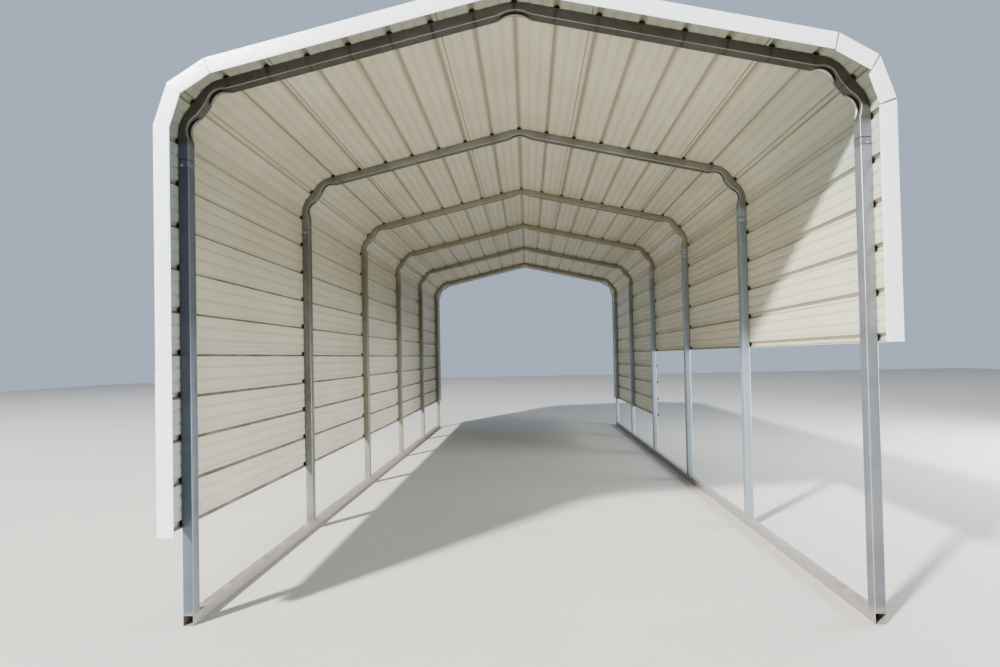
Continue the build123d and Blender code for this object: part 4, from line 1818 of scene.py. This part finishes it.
@dataclass
class Strip:
    """One straight strip of the trim, from the corner with its number down.

    Its foot and top are heights, or None where a corner ends it. A loose strip is larger all
    round, to slip over another one.
    """

    trim: EdgeTrim
    place: int
    end: End
    side: Side
    sheet_end: float
    foot: float | None = None
    top: float | None = None
    loose: float = 0.0
    section: Array = field(init=False)
    starts: Array = field(init=False)
    stops: Array = field(init=False)
    span: float = field(init=False)

    def __post_init__(self) -> None:
        """Sets out its section and its length."""
        self.section = self.trim.section(self.loose)
        self.starts, self.stops = self.cut_ends()
        self.span = float(np.abs(self.stops - self.starts).max())

    def cut_ends(self) -> tuple[Array, Array]:
        """Finds both ends, cut to meet the strips beside this one.

        Returns:
            Start and end for each point of the section, as rows of X and Z.
        """
        trim, upper, lower = self.trim, (self.side, self.place), (self.side, self.place + 1)
        ends = [trim.band(self.place, depth) for depth in self.section[:, 0]]
        starts, stops = np.array([a for a, _ in ends]), np.array([b for _, b in ends])
        way = stops - starts
        way = way / np.hypot(way[:, 0], way[:, 1])[:, None]
        gaps = [trim.seams.get(joint, 0.0) for joint in (upper, lower)]
        inner = np.clip(self.section[:, :1] / trim.face, 0, 1)
        opened = 1 + (trim.inner_gap - 1) * inner
        starts, stops = starts + way * opened * gaps[0] / 2, stops - way * opened * gaps[1] / 2
        # the end of one strip is cut square, and the next one is cut to fit it
        if upper in trim.square:
            bend = abs(trim.bend(self.place))
            starts = starts + way * inner * trim.face * (math.tan(bend) - math.tan(bend / 2))
        if lower in trim.square:
            stops = stops + way * inner * trim.face * math.tan(abs(trim.bend(lower[1])) / 2)
        if self.top is not None:
            starts[:, 1] = self.top
        if self.foot is not None:
            stops[:, 1] = self.foot
        return starts, stops

    def from_seam(self, share: float) -> Array:
        """Measures how far a ring of points is from the nearest joint.

        Args:
            share: place of the ring as a share of the strip.

        Returns:
            A distance for each point; a folded joint fades out away from the inner edge.
        """
        trim = self.trim
        ways = ((share * self.span, (self.side, self.place)),
                ((1 - share) * self.span, (self.side, self.place + 1)))
        nearest, folded = (min([way for way, joint in ways if joint in joints], default=self.span)
                           for joints in (trim.seams, trim.folds))
        up = np.interp(trim.face - self.section[:, 0], (0.0, *trim.fold_reach), trim.fold_fade)
        return np.minimum(nearest, folded + up)

    def build(self) -> Mesh:
        """Makes the strip.

        Returns:
            The mesh.
        """
        trim, deep = self.trim, self.section[:, 0]
        count = max(trim.fewest_stations, round(self.span / trim.station_step) + 1)
        each_metre, each_corner = trim.waver_turns
        rings, seam = [], []
        for share in np.linspace(0, 1, count):
            points = self.starts + (self.stops - self.starts) * share
            turn = share * self.span * each_metre + self.place * each_corner + self.side.value
            sway = trim.waver * abs(math.sin(turn)) * math.sin(share * math.pi)
            y = self.section[:, 1] + np.where(deep > trim.face / 2, sway, 0.0)
            rings.append(np.column_stack((self.side.value * points[:, 0],
                                          self.sheet_end + self.end.value * y, points[:, 1])))
            seam.append(self.from_seam(share))
        mesh = bpy.data.meshes.new("strip")
        mesh.from_pydata(np.concatenate(rings), [], grid_faces(len(rings), len(deep)))
        add_value(mesh, "from_seam", np.concatenate(seam))
        add_value(mesh, "depth", np.tile(deep, len(rings)))
        if volume(mesh) < 0:
            mesh.flip_normals()
        return mesh


# Screws
class ScrewDriver(PieceTree):
    """Sets a washer-head screw on every marked point, turned at random about its axis."""

    name = "screws"
    sockets = {"Head Width": "Float", "Head Height": "Float", "Washer Width": "Float",
               "Washer Height": "Float", "Seed": "Int"}
    washer_sides = 12
    washer_taper = 0.84
    head_sides = 6
    head_taper = 0.90

    def cone(self, sides: int, width: Socket, taper: float, height: Socket) -> Socket:
        """Wires a low cone with a flat top.

        Args:
            sides: number of its sides.
            width: its width at the foot.
            taper: width at the top as a share of the width at the foot.
            height: its height.

        Returns:
            The cone's socket.
        """
        radius = self.nodes.math("DIVIDE", width, 2.0)
        return self.nodes.node("GeometryNodeMeshCone", {
            "Vertices": sides, "Radius Top": self.nodes.times(radius, taper),
            "Radius Bottom": radius, "Depth": height}).outputs[0]

    def wire(self) -> Socket:
        """Wires washer and hexagon, their place and their turn.

        Returns:
            The screws' socket.
        """
        nodes, given = self.nodes, self.given
        washer = self.cone(self.washer_sides, given["Washer Width"], self.washer_taper,
                           given["Washer Height"])
        head = self.cone(self.head_sides, given["Head Width"], self.head_taper,
                         given["Head Height"])
        head = nodes.node("GeometryNodeTransform", {
            0: head, "Translation": nodes.joined(0.0, 0.0, given["Washer Height"])}).outputs[0]
        screw = nodes.node("GeometryNodeJoinGeometry")
        for part in (washer, head):
            nodes.tree.links.new(part, screw.inputs[0])
        aimed = nodes.node("FunctionNodeAlignRotationToVector", {
            "Vector": self.carried("facing")}, axis="Z").outputs[0]
        chance = nodes.node("FunctionNodeRandomValue", {2: 0.0, 3: math.tau, "Seed": given["Seed"]},
                            data_type="FLOAT").outputs[1]
        turn = nodes.node("FunctionNodeEulerToRotation", {0: nodes.joined(0.0, 0.0, chance)})
        aimed = nodes.node("FunctionNodeRotateRotation", {0: aimed, 1: turn.outputs[0]},
                           rotation_space="LOCAL").outputs[0]
        return nodes.node("GeometryNodeInstanceOnPoints", {
            "Points": given["Geometry"], "Instance": screw.outputs[0],
            "Rotation": aimed}).outputs[0]


@dataclass(frozen=True)
class ScrewSize:
    """Sizes of a screw's head and washer."""

    head_width: float = 0.0086
    head_height: float = 0.0044
    washer_width: float = 0.0150
    washer_height: float = 0.0016


@dataclass
class ScrewSet:
    """Screws of one kind: the points that they hold, and the way that each faces."""

    name: str
    driver: ScrewDriver
    material: Material
    size: ScrewSize = ScrewSize()
    seed: int = 7
    crease: float = 30.0
    points: list[Triple] = field(default_factory=list)
    facings: list[Triple] = field(default_factory=list)

    def add(self, point: Triple, facing: Triple) -> None:
        """Marks a place for one screw."""
        self.points.append(point)
        self.facings.append(facing)

    def build(self) -> Piece:
        """Makes all the screws of this kind as one piece.

        Returns:
            The piece.
        """
        mesh, size = bpy.data.meshes.new(self.name + "_points"), self.size
        mesh.from_pydata(self.points, [], [])
        add_value(mesh, "facing", np.array(self.facings, float))
        made = self.driver.run(
            self.name, mesh, Head_Width=size.head_width, Head_Height=size.head_height,
            Washer_Width=size.washer_width, Washer_Height=size.washer_height, Seed=self.seed,
            Finish=self.material)
        return as_piece(self.name, made, self.material, self.crease)


# The carport
@dataclass
class Carport:
    """The whole carport: how many of each sub-assembly there are and where they stand."""

    frame_length: float = 7.620
    bays: int = 5
    overhang: float = 0.1524
    pans: int = 4
    ridge_pans: int = 2
    short_bays: int = 2
    screw_above: float = 0.024
    trim_screw: ScrewSize = ScrewSize(head_width=0.0075, head_height=0.0012,
                                      washer_width=0.0115, washer_height=0.0009)
    joint_screw_in: float = 0.0198
    joint_screw_z: float = 2.467
    outline: Outline = field(default_factory=Outline)
    profile: SheetProfile = field(default_factory=SheetProfile)
    finishes: dict[str, Material] = field(default_factory=dict)
    trim: EdgeTrim = field(init=False)

    def __post_init__(self) -> None:
        """Makes the finishes."""
        for finish in (GalvanisedSteel("galvanised_tube", 0.42), StonePaint("sheet_stone", 0.42),
                       WhitePaint("trim_white", 0.38),
                       ScrewCoat("screw_stone", 0.45, (0.60, 0.56, 0.47), (0.34, 0.31, 0.27)),
                       ScrewCoat("screw_white", 0.42, (0.78, 0.78, 0.77), (0.45, 0.44, 0.41)),
                       ScrewCoat("screw_zinc", 0.36, (0.55, 0.56, 0.57), (0.30, 0.29, 0.27), 0.8)):
            self.finishes[finish.name] = finish.material()
        self.trim = EdgeTrim(self.outline, self.finishes["trim_white"])

    @property
    def spacing(self) -> float:
        """Distance from bow to bow."""
        return (self.frame_length - self.outline.tube) / self.bays

    @property
    def numbers(self) -> range:
        """Numbers of the bows."""
        return range(1, self.bays + 2)

    @property
    def full_from(self) -> int:
        """Number of the bow where the lower sheet of the right wall starts."""
        return self.bays + 1 - self.short_bays

    @property
    def sheet_end(self) -> float:
        """Y of the sheets' back edge."""
        return self.frame_length / 2 + self.overhang

    @property
    def last_ribs(self) -> tuple[int, int]:
        """Ribs that end the upper and the lower wall sheets."""
        upper = self.ridge_pans + 3 * self.pans
        return upper, upper + self.pans

    def bow_y(self, number: int) -> float:
        """Y of the middle of a bow, counted from 1 at the front."""
        return -self.frame_length / 2 + self.outline.tube / 2 + (number - 1) * self.spacing

    def sheet_foot(self, rib: int) -> float:
        """Height of the lower edge of a wall that ends at a rib."""
        at = rib * self.profile.pitch + self.profile.base / 2 + self.profile.edge_lip
        return self.outline.point(at, 0.0)[0][2]

    def frame_pieces(self) -> list[Piece]:
        """Makes the rails, legs and bows.

        Returns:
            The pieces.
        """
        tube = SquareTube(self.finishes["galvanised_tube"])
        made = []
        for number in self.numbers:
            made.append(Bow(tube, self.outline, number, self.bow_y(number)).build())
            for side in Side:
                made.append(Leg(tube, self.outline, side, number, self.bow_y(number)).build())
        for side in Side:
            made.append(GroundRail(tube, self.outline, side, self.frame_length).build())
            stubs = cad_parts[f"rail_stubs_{side.word}"]
            stubs.data.materials.clear()
            stubs.data.materials.append(tube.material)
        return made

    def sheet(self, roller: SheetRoller, node: str, first: int, last: int,
              **more: Any) -> Piece:
        """Makes one sheet of this carport.

        Args:
            roller: the node tree that makes it.
            node: name of the node that it takes the place of.
            first: rib that it starts with.
            last: rib that it ends with.
            more: what differs from a sheet on the right, as long as the roof.

        Returns:
            The piece.
        """
        ends = {"start": -self.sheet_end, "end": self.sheet_end}
        return RibbedSheet(node, first, last, self.profile, self.outline, roller,
                           self.finishes["sheet_stone"], self.bow_y(1), self.spacing,
                           **{**ends, **more}).build()

    def sheet_pieces(self) -> list[Piece]:
        """Makes every roof and wall sheet.

        Returns:
            The pieces.
        """
        roof = self.ridge_pans + self.pans
        corner = roof + self.pans
        upper, lower = self.last_ribs
        make = functools.partial(self.sheet, SheetRoller())
        made = [make("roof_sheet_ridge", 0, self.ridge_pans)]
        for side in Side:
            for node, first, last in ((f"roof_sheet_{side.word}", self.ridge_pans, roof),
                                      (f"corner_sheet_{side.word}", roof, corner),
                                      (f"wall_sheet_{side.word}_upper", corner, upper)):
                made.append(make(node, first, last, side=side.value))
        made.append(make("wall_sheet_left_lower", upper, lower, side=-1, covers=False))
        made.append(make("wall_sheet_right_lower", upper, lower, covers=False,
                         start=self.bow_y(self.full_from) - self.outline.tube / 2))
        return made

    def trim_pieces(self) -> list[Piece]:
        """Makes the edge trim of both open ends.

        Returns:
            The pieces.
        """
        upper, lower = (self.sheet_foot(rib) for rib in self.last_ribs)
        front = self.trim.build(End.FRONT, -self.sheet_end, {Side.LEFT: lower, Side.RIGHT: upper})
        return front + self.trim.build(End.BACK, self.sheet_end,
                                       {Side.LEFT: lower, Side.RIGHT: lower})

    def sheet_screws(self, driver: ScrewDriver) -> ScrewSet:
        """Marks the screws that hold the sheets on the bows.

        Args:
            driver: the node tree that makes them.

        Returns:
            The screws.
        """
        screws = ScrewSet("sheet_screws", driver, self.finishes["screw_stone"])
        profile, upper, lower = self.profile, *self.last_ribs
        for number in self.numbers:
            for side in Side:
                last = lower if side is Side.LEFT or number >= self.full_from else upper
                for rib in range(1, last + 1):
                    foot = rib * profile.pitch - profile.base / 2
                    (x, _, z), facing = self.outline.point(side.value * (foot - self.screw_above),
                                                           profile.level)
                    screws.add((x, self.bow_y(number), z), facing)
        return screws

    def trim_screws(self, driver: ScrewDriver) -> ScrewSet:
        """Marks the screws that hold the trim on the roof's ribs.

        Args:
            driver: the node tree that makes them.

        Returns:
            The screws.
        """
        screws = ScrewSet("trim_screws", driver, self.finishes["screw_white"], self.trim_screw)
        for end in End:
            y = -end.value * (self.sheet_end - self.trim.flange / 2)
            for side in Side:
                for rib in range(1, self.ridge_pans + self.pans + 1):
                    (x, _, z), facing = self.outline.point(side.value * rib * self.profile.pitch,
                                                           self.trim.level)
                    screws.add((x, y, z), facing)
        return screws

    def joint_screws(self, driver: ScrewDriver) -> ScrewSet:
        """Marks the screws that hold the bows in the legs.

        Args:
            driver: the node tree that makes them.

        Returns:
            The screws.
        """
        screws = ScrewSet("joint_screws", driver, self.finishes["screw_zinc"])
        for number in self.numbers:
            for side in Side:
                x = side.value * (self.outline.half_width - self.joint_screw_in)
                screws.add((x, self.bow_y(number) - self.outline.tube / 2, self.joint_screw_z),
                           (0.0, -1.0, 0.0))
        return screws

    def screw_pieces(self) -> list[Piece]:
        """Makes the screws of every kind.

        Returns:
            The pieces.
        """
        driver = ScrewDriver()
        return [marked(driver).build()
                for marked in (self.sheet_screws, self.trim_screws, self.joint_screws)]

    def build(self) -> None:
        """Makes every piece and lets it ride on the one body."""
        for group in (self.frame_pieces, self.sheet_pieces, self.trim_pieces, self.screw_pieces):
            for piece in group():
                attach(piece, BODY)
                log.info("%s: %d faces", piece.name, len(piece.data.polygons))


# Studio
@dataclass(frozen=True)
class Lamp:
    """One soft square lamp."""

    name: str
    place: Triple
    aim: Triple
    size: float
    watts: float
    colour: Colour

    def build(self) -> None:
        """Hangs the lamp and points it."""
        data = bpy.data.lights.new(self.name, "AREA")
        data.shape, data.size = "SQUARE", self.size
        data.energy, data.color = self.watts, self.colour
        lamp, way = linked(self.name, data), Vector(self.aim) - Vector(self.place)
        lamp.location, lamp.rotation_euler = self.place, way.to_track_quat("-Z", "Y").to_euler()


@dataclass
class Studio:
    """Pale floor, soft light and the camera at the photograph's viewing angle."""

    eye: Triple = (0.03565, -6.48053, 1.39777)
    yaw: float = -1.9146
    pitch: float = 0.829
    roll: float = -1.1627
    focal_pixels: float = 509.551
    centre_pixels: Pair = (510.934, 349.528)
    frame_pixels: Pair = (1000.0, 667.0)
    sensor: float = 36.0
    clip: Pair = (0.05, 200.0)
    floor_half: float = 30.0
    lamps: tuple[Lamp, ...] = (
        Lamp("key", (-17.0, -19.9, 20.0), (0.6, -1.5, 0.6), 1.8, 13500.0, (1.0, 0.98, 0.95)),
        Lamp("fill", (9.0, -1.5, 2.2), (-1.5, 0.5, 1.4), 5.0, 900.0, (0.90, 0.95, 1.0)))
    sky: Colour = (0.445, 0.520, 0.640)
    sky_strength: float = 0.50
    exposure: float = 0.80

    def camera(self) -> None:
        """Makes the camera."""
        data = bpy.data.cameras.new("camera")
        wide, high = self.frame_pixels
        data.sensor_fit, data.sensor_width = "HORIZONTAL", self.sensor
        data.lens = self.focal_pixels / wide * self.sensor
        data.shift_x = (wide / 2 - self.centre_pixels[0]) / wide
        data.shift_y = (self.centre_pixels[1] - high / 2) / wide
        data.clip_start, data.clip_end = self.clip
        yaw, pitch, roll = (math.radians(v) for v in (self.yaw, self.pitch, self.roll))
        right = Vector((math.cos(yaw), -math.sin(yaw), 0.0))
        ahead = Vector((math.sin(yaw) * math.cos(pitch), math.cos(yaw) * math.cos(pitch),
                        math.sin(pitch)))
        up = right.cross(ahead)
        right, up = (right * math.cos(roll) + up * math.sin(roll),
                     up * math.cos(roll) - right * math.sin(roll))
        camera = linked("camera", data)
        turned = Matrix((right, up, -ahead)).transposed().to_4x4()
        camera.matrix_world = Matrix.Translation(self.eye) @ turned
        bpy.context.scene.camera = camera

    def floor(self) -> None:
        """Makes the floor, which belongs to the studio only."""
        half = self.floor_half
        mesh = bpy.data.meshes.new("floor")
        mesh.from_pydata([(-half, -half, 0), (half, -half, 0), (half, half, 0), (-half, half, 0)],
                         [], [(0, 1, 2, 3)])
        mesh.materials.append(PaleFloor("pale_floor", 0.85).material())
        linked("floor", mesh)

    def world(self) -> None:
        """Lights the scene from all round, and sets how the picture is developed."""
        world = bpy.data.worlds.new("studio")
        world.use_nodes = True
        nodes = NodeTree(world.node_tree)
        light = nodes.node("ShaderNodeBackground", {
            "Color": (*self.sky, 1.0), "Strength": self.sky_strength})
        nodes.node("ShaderNodeOutputWorld", {"Surface": light.outputs[0]})
        bpy.context.scene.world = world
        view = bpy.context.scene.view_settings
        view.view_transform, view.look = "AgX", "AgX - Medium High Contrast"
        view.exposure = self.exposure

    def build(self) -> None:
        """Makes the floor, the lights and the camera."""
        self.floor()
        for lamp in self.lamps:
            lamp.build()
        self.world()
        self.camera()


def main() -> None:
    """Builds the carport and the studio."""
    logging.basicConfig(level=logging.INFO, format="%(name)s %(message)s")
    Carport().build()
    Studio().build()


if __name__ == "__main__":
    main()
